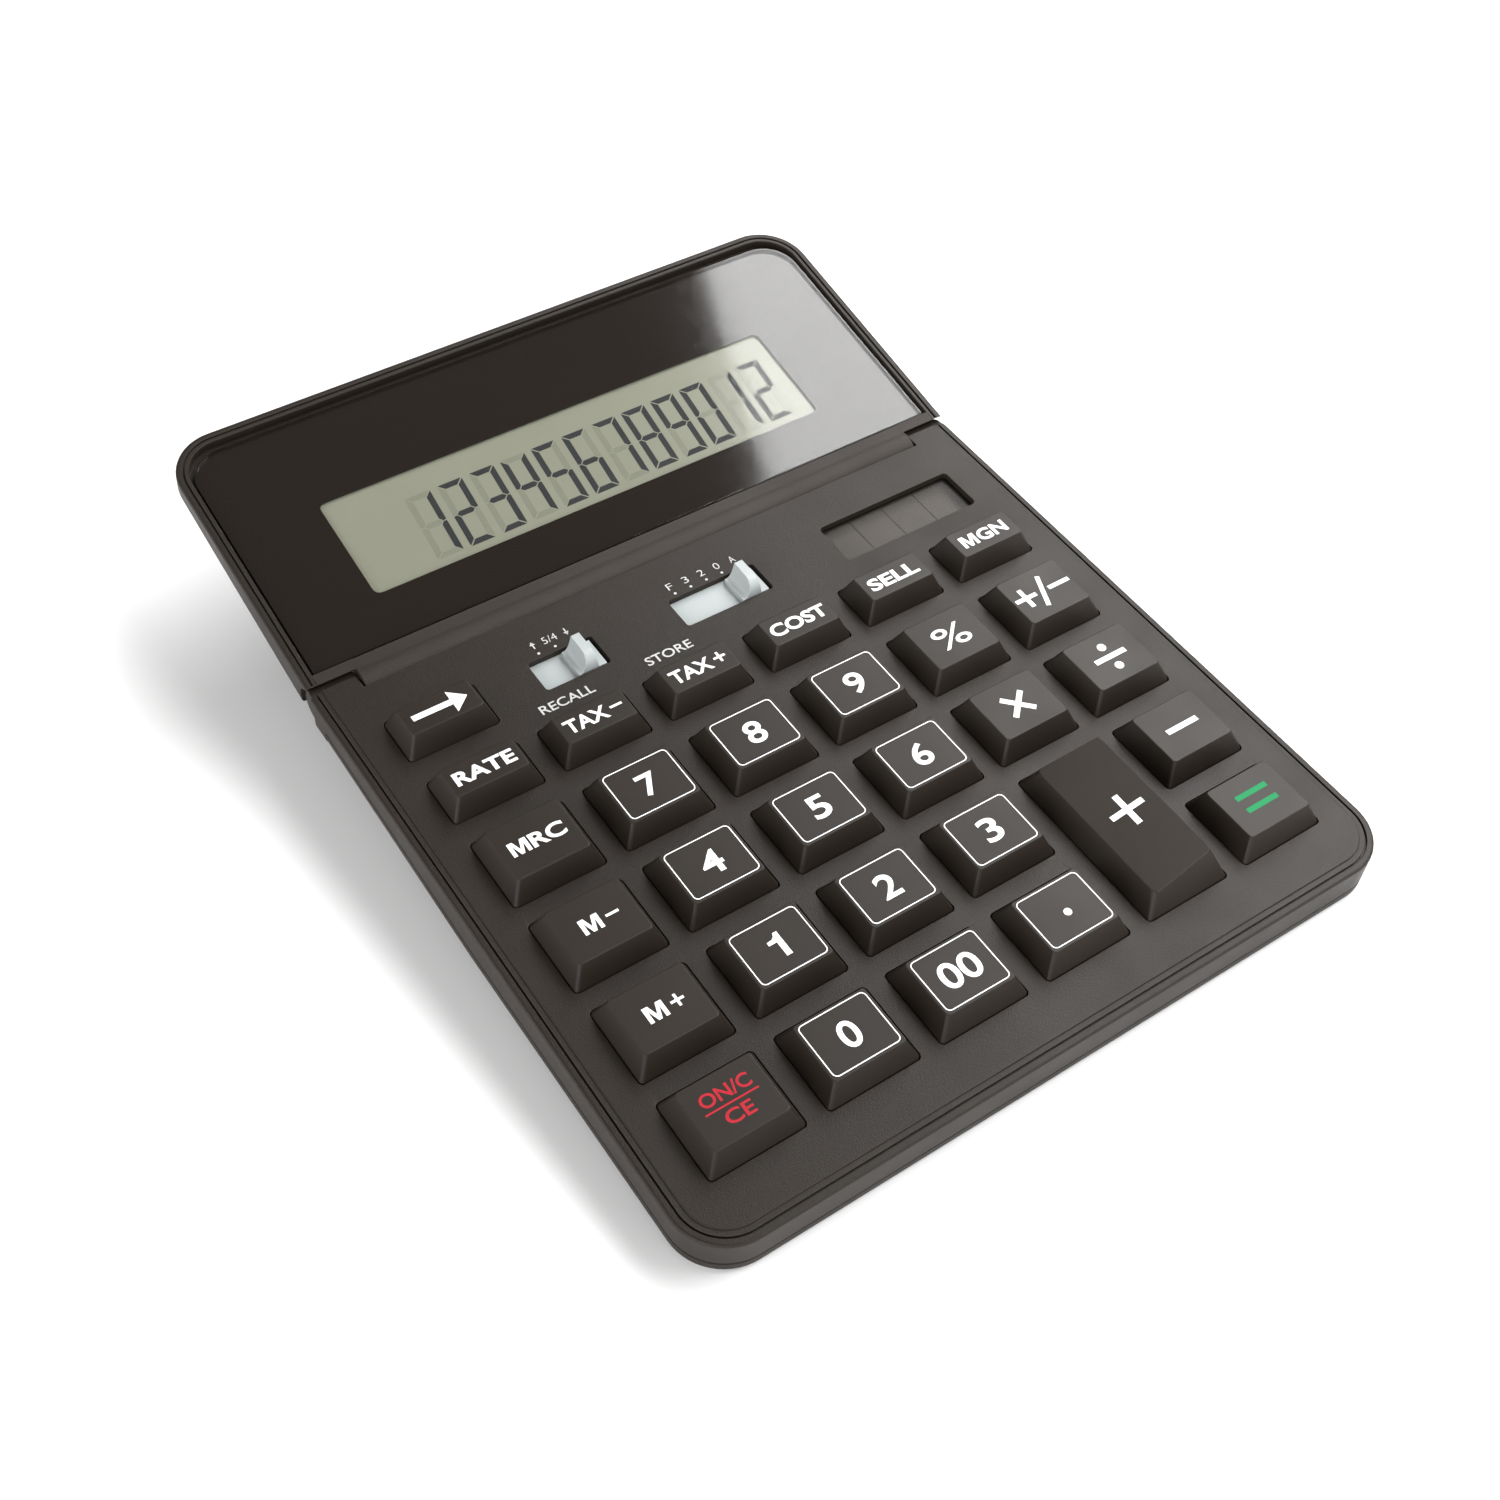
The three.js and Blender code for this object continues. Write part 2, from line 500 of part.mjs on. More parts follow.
// ---------------------------------------------------------------- underside, base frame
function makeUnderside() {
  FOOT_SPOTS.forEach(([x, y], index) => {
    const foot = rodZ(x, y, FOOT_RADIUS, 0, PLINTH_BOTTOM + 0.4, 24);
    place(calculator, `rubber_foot_${index + 1}`, foot, COLOUR.rubber, 0.9);
  });
  const { x, y, radius, bottom, top } = CELL;
  const slot = block(x - 5, y - 0.6, 0, x + 5, y + 0.6, PLINTH_BOTTOM + 0.7);
  const door = rodZ(x, y, DOOR_RADIUS, PLINTH_BOTTOM, DOOR_TOP, 32).subtract(slot);
  place(calculator, 'battery_door', door, COLOUR.case, 0.65);
  place(calculator, 'coin_cell', rodZ(x, y, radius, bottom, top, 24), COLOUR.steel, 0.3, 1);
  const topContact = block(x - 12, y - 2, top + 0.6, x + 6, y + 2, top + 0.9);
  place(calculator, 'battery_contact_top', topContact, COLOUR.steel, 0.3, 1);
  const sideContact = block(x + radius + GAP, y - 2, bottom, x + radius + 2 * GAP, y + 2, top);
  place(calculator, 'battery_contact_side', sideContact, COLOUR.steel, 0.3, 1);
}

// ---------------------------------------------------------------- display head, head frame
function headPlan(inset, front) {
  const half = HALF_WIDTH - inset;
  return roundedRect(-half, front, half, HEAD_REAR - inset, 0, CORNER - inset);
}

// Section of the barrel and the tongue that joins it to the head.
function tongueShape() {
  const meet = THREE.MathUtils.degToRad(124);
  const shape = new THREE.Shape();
  shape.moveTo(HEAD_FRONT + 3, HEAD_RIM);
  shape.lineTo(0.2, HEAD_RIM);
  const startY = Math.cos(meet) * BARREL_RADIUS;
  const startZ = Math.sin(meet) * BARREL_RADIUS;
  shape.quadraticCurveTo(-1.4, HEAD_RIM, startY, startZ);
  shape.absarc(0, 0, BARREL_RADIUS, meet, 1.5 * Math.PI, false);
  shape.lineTo(HEAD_FRONT + 3, -3.2);
  return shape;
}

function makeBezel() {
  const blank = roundedTop(headPlan(0, HEAD_FRONT - 5), -10, HEAD_RIM, RIM_ROUND, PLAN_SEGMENTS);
  const side = profile([[HEAD_FRONT, 6], [HEAD_FRONT, -2.4], [HEAD_REAR + 1, 0.9], [HEAD_REAR + 1, 6]]);
  const tongue = alongX(tongueShape(), -BARREL_HALF, BARREL_HALF, 10);
  const knuckleRoom = [[-90, -BARREL_HALF], [BARREL_HALF, 90]].map(([x0, x1]) =>
    rodX(0, 0, KNUCKLE_RADIUS + 0.45, x0, x1, 24));
  const roomHalf = LENS_HALF + GAP;
  const roomCorner = LENS_CORNER + GAP;
  const roomPlan = roundedRect(-roomHalf, LENS_FRONT - GAP, roomHalf, LENS_REAR + GAP, 0.6, roomCorner);
  const lensRoom = prism(roomPlan, SEAT, 10, PLAN_SEGMENTS);
  const groove = ringCutter(
    headPlan(GROOVE_OUT, -10), headPlan(GROOVE_IN, -20), HEAD_RIM - GROOVE_DEPTH, 10, PLAN_SEGMENTS,
  );
  const grooveSpan = block(-FAR, HEAD_FRONT - 2, -FAR, FAR, FAR, FAR);
  const cavity = prism(headPlan(WALL, 7), -20, SEAT_UNDER, PLAN_SEGMENTS);
  const lcdHole = block(LCD.x0 - GAP, LCD.y0 - GAP, -5, LCD.x1 + GAP, LCD.y1 + GAP, 5);
  const pinHoles = [[-66, -60], [60, 66]].map(([x0, x1]) => rodX(0, 0, PIN_HOLE, x0, x1, 12));
  const ribbonSector = new THREE.Shape();
  const reach = BARREL_RADIUS + 2;
  const openFrom = THREE.MathUtils.degToRad(128);
  const openTo = THREE.MathUtils.degToRad(200);
  ribbonSector.moveTo(1, 0);
  ribbonSector.lineTo(reach * Math.cos(openFrom), reach * Math.sin(openFrom));
  ribbonSector.absarc(0, 0, reach, openFrom, openTo, false);
  const ribbonRoom = alongX(ribbonSector, -13, 13, 4).add(block(-13, -0.5, -1.2, 13, 9, 0.2));
  const shell = blank.intersect(side).subtract(groove.intersect(grooveSpan));
  const cutters = [...knuckleRoom, lensRoom, cavity, lcdHole, ...pinHoles, ribbonRoom];
  place(headFrame, 'head_bezel', without(shell.add(tongue), cutters), COLOUR.case, 0.6);
}

function makeRearCover() {
  const inset = WALL + GAP;
  const half = HALF_WIDTH - inset;
  const plan = roundedRect(-half, 7.3, half, HEAD_REAR - inset, 0.5, CORNER - inset);
  const trayPlan = roundedRect(-HALF_WIDTH + 6, 9, HALF_WIDTH - 6, 52, 3);
  const flange = prism(plan, -6, SEAT_UNDER - GAP, PLAN_SEGMENTS).intersect(
    profile([[0, 2], [0, -2.0], [HEAD_REAR, 0.0], [HEAD_REAR, 2]]),
  );
  const tray = prism(trayPlan, -4.0, 0, 4);
  const room = prism(roundedRect(-HALF_WIDTH + 7.4, 10.4, HALF_WIDTH - 7.4, 50.6, 2), -2.6, 5, 4);
  place(headFrame, 'head_rear_cover', flange.add(tray).subtract(room), COLOUR.case, 0.65);
}

function makeDisplay() {
  const lens = roundedRect(-LENS_HALF, LENS_FRONT, LENS_HALF, LENS_REAR, 0.4, LENS_CORNER);
  place(headFrame, 'display_lens', prism(lens, LENS_BOTTOM, LENS_TOP, PLAN_SEGMENTS), COLOUR.lens, 0.08);
  const { x0, y0, x1, y1, top, bottom } = LCD;
  place(headFrame, 'lcd_panel', block(x0, y0, bottom, x1, y1, top), COLOUR.lcd, 0.3);
  const strip = block(x0 + 4, y0 + 1, bottom - 1, x1 - 4, y0 + 3, bottom - GAP);
  place(headFrame, 'zebra_connector', strip, COLOUR.zebra, 0.8);
  const board = block(x0 - 2, y0 - 1.5, -2.3, x1 + 2, y1 + 1.5, bottom - 1.3);
  place(headFrame, 'display_board', board, COLOUR.board, 0.5);
}

// ---------------------------------------------------------------- assembly
KEYS.forEach(makeKey);
makeSlider('rounding_slider', ROUNDING);
makeSlider('decimal_slider', DECIMAL);
makeTopCase();
makeBottomCase();
makeKeypadMat();
makeBoards();
makeSolar();
makeHingePins();
makeScrews();
makeUnderside();
makeBezel();
makeRearCover();
makeDisplay();

// The origin is at the middle of the footprint, on the floor.
calculator.updateMatrixWorld(true);
const middle = new THREE.Box3().setFromObject(calculator, true).getCenter(new THREE.Vector3());
calculator.position.set(-middle.x, -middle.y, 0);

export default calculator;
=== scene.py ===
"""Desk calculator with a tilting display head: its looks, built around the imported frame."""
import json
import math

import bpy
import bmesh
from mathutils import Matrix, Vector
from mathutils.geometry import tessellate_polygon


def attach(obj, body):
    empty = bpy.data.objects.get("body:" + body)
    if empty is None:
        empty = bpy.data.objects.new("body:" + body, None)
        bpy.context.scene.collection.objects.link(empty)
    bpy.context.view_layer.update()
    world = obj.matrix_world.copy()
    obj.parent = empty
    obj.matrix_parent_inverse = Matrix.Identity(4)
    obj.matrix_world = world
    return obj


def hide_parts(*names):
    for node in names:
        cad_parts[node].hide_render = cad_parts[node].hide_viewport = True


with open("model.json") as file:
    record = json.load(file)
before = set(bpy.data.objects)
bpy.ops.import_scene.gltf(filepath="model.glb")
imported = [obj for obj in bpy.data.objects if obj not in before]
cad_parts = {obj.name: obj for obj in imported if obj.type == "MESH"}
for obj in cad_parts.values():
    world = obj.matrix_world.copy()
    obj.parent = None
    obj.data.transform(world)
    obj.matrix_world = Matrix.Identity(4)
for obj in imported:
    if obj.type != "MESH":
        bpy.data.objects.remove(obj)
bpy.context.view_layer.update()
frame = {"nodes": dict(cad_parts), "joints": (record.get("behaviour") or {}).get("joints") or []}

# -------- frames
# Pieces are drawn in millimetres in one of two tilted frames, and carried to the row frame.
MM = 0.001
joints = {j["name"]: j for j in frame["joints"]}
hinge = Vector(joints["head_tilt"]["pos_m"])
press = Vector(joints["press_arrow"]["axis"])
SLOPE = math.atan2(press.y, -press.z)                         # of the deck, against the floor
TILT = math.radians(-joints["head_tilt"]["range_deg"][0])     # of the head at rest, against the deck
AXIS_Y, AXIS_Z = 122.1, -3.6                                  # hinge axis in the deck frame

HEAD = Matrix.Translation(hinge) @ Matrix.Rotation(SLOPE + TILT, 4, "X") @ Matrix.Scale(MM, 4)
DECK = (
    Matrix.Translation(hinge) @ Matrix.Rotation(SLOPE, 4, "X") @ Matrix.Scale(MM, 4)
    @ Matrix.Translation((0, -AXIS_Y, -AXIS_Z))
)


def placed(name, data):
    """A new object, in the scene."""
    made = bpy.data.objects.new(name, data)
    bpy.context.scene.collection.objects.link(made)
    return made


def local_box(node, matrix):
    """Lowest and highest corner of a CAD node in a tilted frame, in mm."""
    inverse = matrix.inverted()
    points = [inverse @ v.co for v in frame["nodes"][node].data.vertices]
    low = Vector([min(p[i] for p in points) for i in range(3)])
    high = Vector([max(p[i] for p in points) for i in range(3)])
    return low, high


KEYPAD, DISPLAY = "keypad_unit", "display_head"
case_low, case_high = local_box("top_case", DECK)
HALF = case_high.x                # outer half width
FRONT = case_low.y                # the body's front edge
CORNER = 10.4                     # radius of the outer corners in plan
RIM = -0.3                        # level of the rim, where the deck's is 0
RIM_WIDTH = 2.7
GROOVE = (1.35, 1.72, 0.5)        # rim groove: inset of its outer and inner wall, depth
EAR = 64.6                        # inner face of the body's two hinge ears
BARREL_ROOM = 4.64                # the deck's edge stands this far off the hinge axis
WALL = 2.2
DECK_THICK = 1.3
FLANGE = 0.8                      # a key's flange beyond its opening


# -------- mesh building
class Solid:
    """Points and faces of one piece, in mm in its own frame. A row is a list of point numbers."""

    def __init__(self):
        self.points, self.faces = [], []

    def row(self, points):
        start = len(self.points)
        self.points += [Vector(p) for p in points]
        return list(range(start, start + len(points)))

    def face(self, indices):
        self.faces.append(tuple(indices))

    def bridge(self, a, b, closed=True):
        """Quads between two rows with the same number of points."""
        for i in range(len(a) if closed else len(a) - 1):
            k = (i + 1) % len(a)
            self.face((a[i], a[k], b[k], b[i]))

    def skin(self, rows, closed=True):
        """Quads from each row to the next."""
        for a, b in zip(rows, rows[1:]):
            self.bridge(a, b, closed)

    def fill(self, rows, axes=(0, 1)):
        """Triangles inside the first row and outside the others, in the plane of two axes."""
        flat = [i for row in rows for i in row]
        loops = [[(self.points[i][axes[0]], self.points[i][axes[1]], 0) for i in row] for row in rows]
        for triangle in tessellate_polygon(loops):
            self.face([flat[i] for i in triangle])

    def loft(self, rows, axes=(0, 1)):
        """A closed body: the skin over the rows, and a lid on the first and the last."""
        self.skin(rows)
        self.fill([rows[0]], axes)
        self.fill([rows[-1]], axes)

    def slab(self, low, high, radius, edge):
        """A plate in a box with rounded corners; edge lists (inset, z) on the way up."""
        self.loft([
            self.row(level(rounded(low.x + e, low.y + e, high.x - e, high.y - e, radius), z)) for e, z in edge
        ])

    def build(self, name, matrix, material, body, slot, replaces=(), sharp=38):
        """Makes the object: welded, smooth up to the sharp angle, riding a body; slot is not used."""
        mesh = bpy.data.meshes.new(name)
        mesh.from_pydata([tuple(p) for p in self.points], [], self.faces)
        mesh.materials.append(material)
        work = bmesh.new()
        work.from_mesh(mesh)
        bmesh.ops.remove_doubles(work, verts=work.verts, dist=1e-4)
        bmesh.ops.dissolve_degenerate(work, edges=work.edges, dist=1e-5)
        bmesh.ops.recalc_face_normals(work, faces=work.faces)
        work.to_mesh(mesh)
        work.free()
        mesh.transform(matrix)
        mesh.polygons.foreach_set("use_smooth", [True] * len(mesh.polygons))
        mesh.set_sharp_from_angle(angle=math.radians(sharp))
        piece = placed(name, mesh)
        normals = piece.modifiers.new("face weighted normals", "WEIGHTED_NORMAL")
        normals.keep_sharp = True
        normals.weight = 100
        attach(piece, body)
        if replaces:
            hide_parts(*replaces)


def rounded(x0, y0, x1, y1, radius, steps=5):
    """Plan points of a rounded rectangle, counter-clockwise."""
    radius = max(radius, 0.01)
    centres = [
        (x1 - radius, y0 + radius, -90), (x1 - radius, y1 - radius, 0),
        (x0 + radius, y1 - radius, 90), (x0 + radius, y0 + radius, 180),
    ]
    points = []
    for cx, cy, start in centres:
        for i in range(steps + 1):
            angle = math.radians(start + 90 * i / steps)
            points.append((cx + radius * math.cos(angle), cy + radius * math.sin(angle)))
    return points


def level(points, z):
    return [(x, y, z) for x, y in points]


def arc(centre, radius, start, end, steps):
    """Points (u, v) on an arc, angles in degrees."""
    cu, cv = centre
    angles = [math.radians(start + (end - start) * i / steps) for i in range(steps + 1)]
    return [(cu + radius * math.cos(a), cv + radius * math.sin(a)) for a in angles]


# -------- materials
class Shader:
    """A Principled material whose looks come from nodes in the piece's own coordinates."""

    def __init__(self, name, roughness=0.5, metallic=0.0, specular=0.5):
        self.material = bpy.data.materials.new(name)
        self.material.use_nodes = True
        self.tree = self.material.node_tree
        self.principled = self.tree.nodes["Principled BSDF"]
        self.output = self.tree.nodes["Material Output"]
        self.feed(self.principled, {"Metallic": metallic, "Specular IOR Level": specular})
        self.rough(roughness)
        self.place = self.node("ShaderNodeTexCoord").outputs["Object"]

    def feed(self, node, inputs):
        """For each input, links another node's socket, or sets a colour or a number."""
        for name, value in inputs.items():
            socket = node.inputs[name]
            if hasattr(value, "is_linked"):
                self.tree.links.new(value, socket)
            else:
                socket.default_value = (*value, 1) if hasattr(value, "__len__") else value

    def node(self, kind, inputs=None, **settings):
        made = self.tree.nodes.new(kind)
        for key, value in settings.items():
            setattr(made, key, value)
        self.feed(made, inputs or {})
        return made

    def noise(self, scale, detail=2.0, roughness=0.5):
        inputs = {"Vector": self.place, "Scale": scale, "Detail": detail, "Roughness": roughness}
        return self.node("ShaderNodeTexNoise", inputs).outputs["Fac"]

    def ranged(self, value, low, high, from_low=0.3, from_high=0.7):
        """Stretches a value's range; 0.3 to 0.7 is most of what a noise gives."""
        inputs = {"Value": value, "From Min": from_low, "From Max": from_high, "To Min": low, "To Max": high}
        return self.node("ShaderNodeMapRange", inputs).outputs["Result"]

    def calculated(self, operation, *values):
        return self.node("ShaderNodeMath", dict(enumerate(values)), operation=operation).outputs[0]

    def mixed(self, factor, a, b):
        """Colour between a and b: inputs 6 and 7 of a Mix node."""
        return self.node("ShaderNodeMix", {0: factor, 6: a, 7: b}, data_type="RGBA").outputs[2]

    def colour(self, value):
        self.feed(self.principled, {"Base Color": value})

    def rough(self, value):
        self.feed(self.principled, {"Roughness": value})

    def mottle(self, scale, detail, low, high):
        """Base colour that wanders between two tones."""
        self.colour(self.mixed(self.ranged(self.noise(scale, detail), 0.0, 1.0), low, high))

    def bump(self, heights, edge=0.0):
        """Adds (height, strength, distance) bumps, and rounds edges narrower than edge (m)."""
        inputs = {}
        if edge:
            inputs["Normal"] = self.node("ShaderNodeBevel", {"Radius": edge}, samples=6).outputs["Normal"]
        for height, strength, distance in heights:
            inputs |= {"Height": height, "Strength": strength, "Distance": distance}
            inputs = {"Normal": self.node("ShaderNodeBump", inputs).outputs["Normal"]}
        self.feed(self.principled, inputs)
        return self


def edges_worn_and_highlit(shader, base, lighter):
    """Base colour with slow mottling, and edges lighter: partly rub wear, partly a painted highlight along
    the edges; gives the mask of the edges.
    """
    slow = shader.ranged(shader.noise(28, 3), 0.0, 1.0)
    toned = shader.mixed(slow, [c * 0.93 for c in base], [c * 1.07 for c in base])
    bent = shader.node("ShaderNodeBevel", {"Radius": 0.00035}, samples=4).outputs["Normal"]
    straight = shader.node("ShaderNodeNewGeometry").outputs["Normal"]
    turned = shader.node("ShaderNodeVectorMath", {0: bent, 1: straight}, operation="DOT_PRODUCT")
    edge = shader.ranged(turned.outputs["Value"], 0.0, 0.5, 0.98, 0.80)
    # the edges take the lighter tone: a painted highlight, on top of rub wear
    shader.colour(shader.mixed(edge, toned, lighter))
    return edge


def moulded_plastic(name, base, lighter, roughness, grain, edge=0.0, specular=0.22, polish=0.0):
    """Spark-eroded moulded plastic: fine grain in colour, roughness and relief; edges polished by use, and
    painted lighter as wear and as a highlight.
    """
    shader = Shader(name, roughness, specular=specular)
    # mask of the edges: their painted highlight and rub wear, and the polish below
    edge_wear_highlight_mask = edges_worn_and_highlit(shader, base, lighter)
    speckle = shader.noise(4200, 2, 0.6)
    slow = shader.ranged(shader.noise(60, 4), roughness - 0.04, roughness + 0.05)
    shader.rough(shader.calculated("MULTIPLY_ADD", edge_wear_highlight_mask, -polish, slow))
    pits = shader.noise(3600, 2, 0.6)
    shader.bump([(pits, grain, 0.00010), (speckle, grain * 0.5, 0.00006)], edge)
    return shader.material


WARM = (0.0169, 0.0125, 0.0094)
WARM_EDGE = (0.038, 0.033, 0.028)
KEY_TONE = (0.0165, 0.0122, 0.0090)

case_plastic = moulded_plastic("case_grain", WARM, WARM_EDGE, 0.44, 0.5)
under_plastic = moulded_plastic("case_grain_under", WARM, WARM_EDGE, 0.5, 0.36, edge=0.0006)
# the keys' edges are painted far lighter than their tops: a painted highlight along the edges, with some rub
# wear
key_plastic = moulded_plastic("key_satin", KEY_TONE, (0.07, 0.064, 0.058), 0.42, 0.07, polish=0.36)
slider_plastic = moulded_plastic(
    "slider_satin", (0.36, 0.39, 0.39), (0.45, 0.47, 0.47), 0.35, 0.01, specular=0.4,
)
inner_plastic = moulded_plastic("dark_housing", (0.012, 0.011, 0.010), (0.03, 0.03, 0.03), 0.5, 0.2)
# the hinge band is the case plastic painted a quarter lighter: painted light for the band's face that leans
# towards the lamps
barrel_band_painted_lighter = moulded_plastic("case_grain_band_painted_light", [c * 1.25 for c in WARM], WARM_EDGE, 0.5, 0.6)


def ink(name, colour, roughness=0.42, specular=0.4):
    """Pad-printed ink: slightly uneven cover."""
    shader = Shader(name, roughness, specular=specular)
    shader.mottle(900, 3, [c * 0.94 for c in colour], colour)
    return shader.bump([(shader.noise(3000, 2), 0.1, 0.00003)]).material


white_ink = ink("ink_white", (0.92, 0.92, 0.91))
grey_ink = ink("ink_grey", (0.55, 0.55, 0.54))
red_ink = ink("ink_red", (0.40, 0.015, 0.028), specular=0.15)
green_ink = ink("ink_green", (0.006, 0.23, 0.075), specular=0.1)


def rubber_material():
    shader = Shader("rubber_black", 0.85, specular=0.3)
    shader.mottle(150, 4, (0.010, 0.010, 0.010), (0.028, 0.027, 0.026))
    return shader.bump([(shader.noise(1500, 4, 0.7), 0.3, 0.0001)], 0.0005).material


def steel_material():
    shader = Shader("steel_plated", 0.3, metallic=1.0)
    shader.mottle(400, 4, (0.50, 0.51, 0.52), (0.66, 0.66, 0.66))
    shader.rough(shader.ranged(shader.noise(900, 5), 0.22, 0.42))
    return shader.bump([(shader.noise(2000, 3), 0.12, 0.00004)], 0.0002).material


def board_material():
    shader = Shader("solder_mask", 0.35)
    shader.mottle(700, 3, (0.015, 0.075, 0.030), (0.022, 0.105, 0.045))
    return shader.bump([(shader.noise(2500, 2), 0.15, 0.00004)]).material


def soft_material(name, low, high, roughness, specular=0.5):
    shader = Shader(name, roughness, specular=specular)
    shader.mottle(300, 3, low, high)
    return shader.bump([(shader.noise(1800, 3), 0.15, 0.00005)]).material


def clear_material(name, tint, roughness, strength):
    """A thin clear cover: light passes straight on, and its outer side mirrors by Fresnel."""
    shader = Shader(name, roughness)
    shader.tree.nodes.remove(shader.principled)
    clear = shader.node("ShaderNodeBsdfTransparent", {"Color": tint})
    gloss = shader.node("ShaderNodeBsdfGlossy", {"Roughness": roughness})
    fresnel = shader.node("ShaderNodeFresnel", {"IOR": 1.5}).outputs["Fac"]
    haze = shader.ranged(shader.noise(500, 4), 0.0, 0.004)
    mirrored = shader.calculated("MULTIPLY", shader.calculated("ADD", fresnel, haze), strength)
    inside = shader.node("ShaderNodeNewGeometry").outputs["Backfacing"]
    share = shader.calculated("MULTIPLY", mirrored, shader.calculated("SUBTRACT", 1.0, inside))
    mix = shader.node("ShaderNodeMixShader", {"Fac": share, 1: clear.outputs[0], 2: gloss.outputs[0]})
    shader.feed(shader.output, {"Surface": mix.outputs[0]})
    return shader.material


def print_material():
    """Dark brown print on the back of the lens."""
    shader = Shader("lens_print", 0.08, specular=0.27)
    shader.mottle(20, 3, (0.0095, 0.0064, 0.0046), (0.0105, 0.0072, 0.0052))
    return shader.material


def lcd_material():
    """The reflective polariser: greenish grey with a very fine mottle."""
    shader = Shader("lcd_polariser", 0.16, specular=0.32)
    slow = shader.ranged(shader.noise(35, 2), 0, 1)
    tone = shader.mixed(slow, (0.186, 0.190, 0.145), (0.196, 0.200, 0.153))
    speck = shader.ranged(shader.noise(5000, 1), 0.0, 0.10)
    shader.colour(shader.mixed(speck, tone, (0.215, 0.22, 0.165)))
    return shader.material


def solar_material():
    """Amorphous silicon: a dark, slightly uneven brown."""
    shader = Shader("solar_film", 0.4, specular=0.1)
    shader.mottle(120, 3, (0.034, 0.029, 0.024), (0.040, 0.034, 0.028))
    return shader.material


rubber = rubber_material()
steel = steel_material()
board = board_material()
silicone = soft_material("silicone_grey", (0.16, 0.165, 0.165), (0.2, 0.205, 0.205), 0.7)
ribbon = soft_material("polyimide", (0.36, 0.17, 0.035), (0.46, 0.22, 0.05), 0.4)
zebra = soft_material("elastomer_pink", (0.6, 0.26, 0.28), (0.68, 0.32, 0.34), 0.6)
lens_clear = clear_material("lens_acrylic", (1, 1, 1), 0.07, 0.62)
lens_print = print_material()
lcd_glass = lcd_material()
lcd_segment = ink("lcd_segment", (0.026, 0.027, 0.028), 0.4, 0.05)
lcd_ghost = ink("lcd_ghost", (0.168, 0.172, 0.131), 0.16, 0.32)
solar_film = solar_material()
solar_glass = clear_material("solar_pane", (0.97, 0.96, 0.94), 0.32, 0.30)


# -------- lettering
def glyphs(text, bold):
    """Closed mesh of a word in the built-in font: its points in a unit box, and its faces."""
    curve = bpy.data.curves.new("word", "FONT")
    curve.body = text
    curve.offset = bold
    curve.extrude = 0.5
    curve.resolution_u = 5
    word = placed("word", curve)
    bpy.context.view_layer.update()
    mesh = bpy.data.meshes.new_from_object(word)
    points = [v.co.copy() for v in mesh.vertices]
    faces = [tuple(p.vertices) for p in mesh.polygons]
    bpy.data.objects.remove(word)
    bpy.data.curves.remove(curve)
    bpy.data.meshes.remove(mesh)
    low = Vector([min(p[i] for p in points) for i in range(3)])
    high = Vector([max(p[i] for p in points) for i in range(3)])
    size = high - low
    unit = [Vector(((p.x - low.x) / size.x, (p.y - low.y) / size.y, p.z + 0.5)) for p in points]
    return unit, faces


INK = 0.03                        # thickness of a print
SUNK = 0.01                       # its underside is this far below the face it stands on
OWN_GLYPHS = {                    # outlines in a unit box, where the font's shape is another one
    "1": [
        (0.58, 0), (1, 0), (1, 1), (0.70, 1), (0.60, 0.87), (0.40, 0.79), (0, 0.76), (0, 0.62), (0.58, 0.62),
    ],
    "M": [
        (0, 0), (0.20, 0), (0.20, 0.74), (0.41, 0), (0.59, 0), (0.80, 0.74), (0.80, 0), (1, 0),
        (1, 1), (0.70, 1), (0.5, 0.34), (0.30, 1), (0, 1),
    ],
}


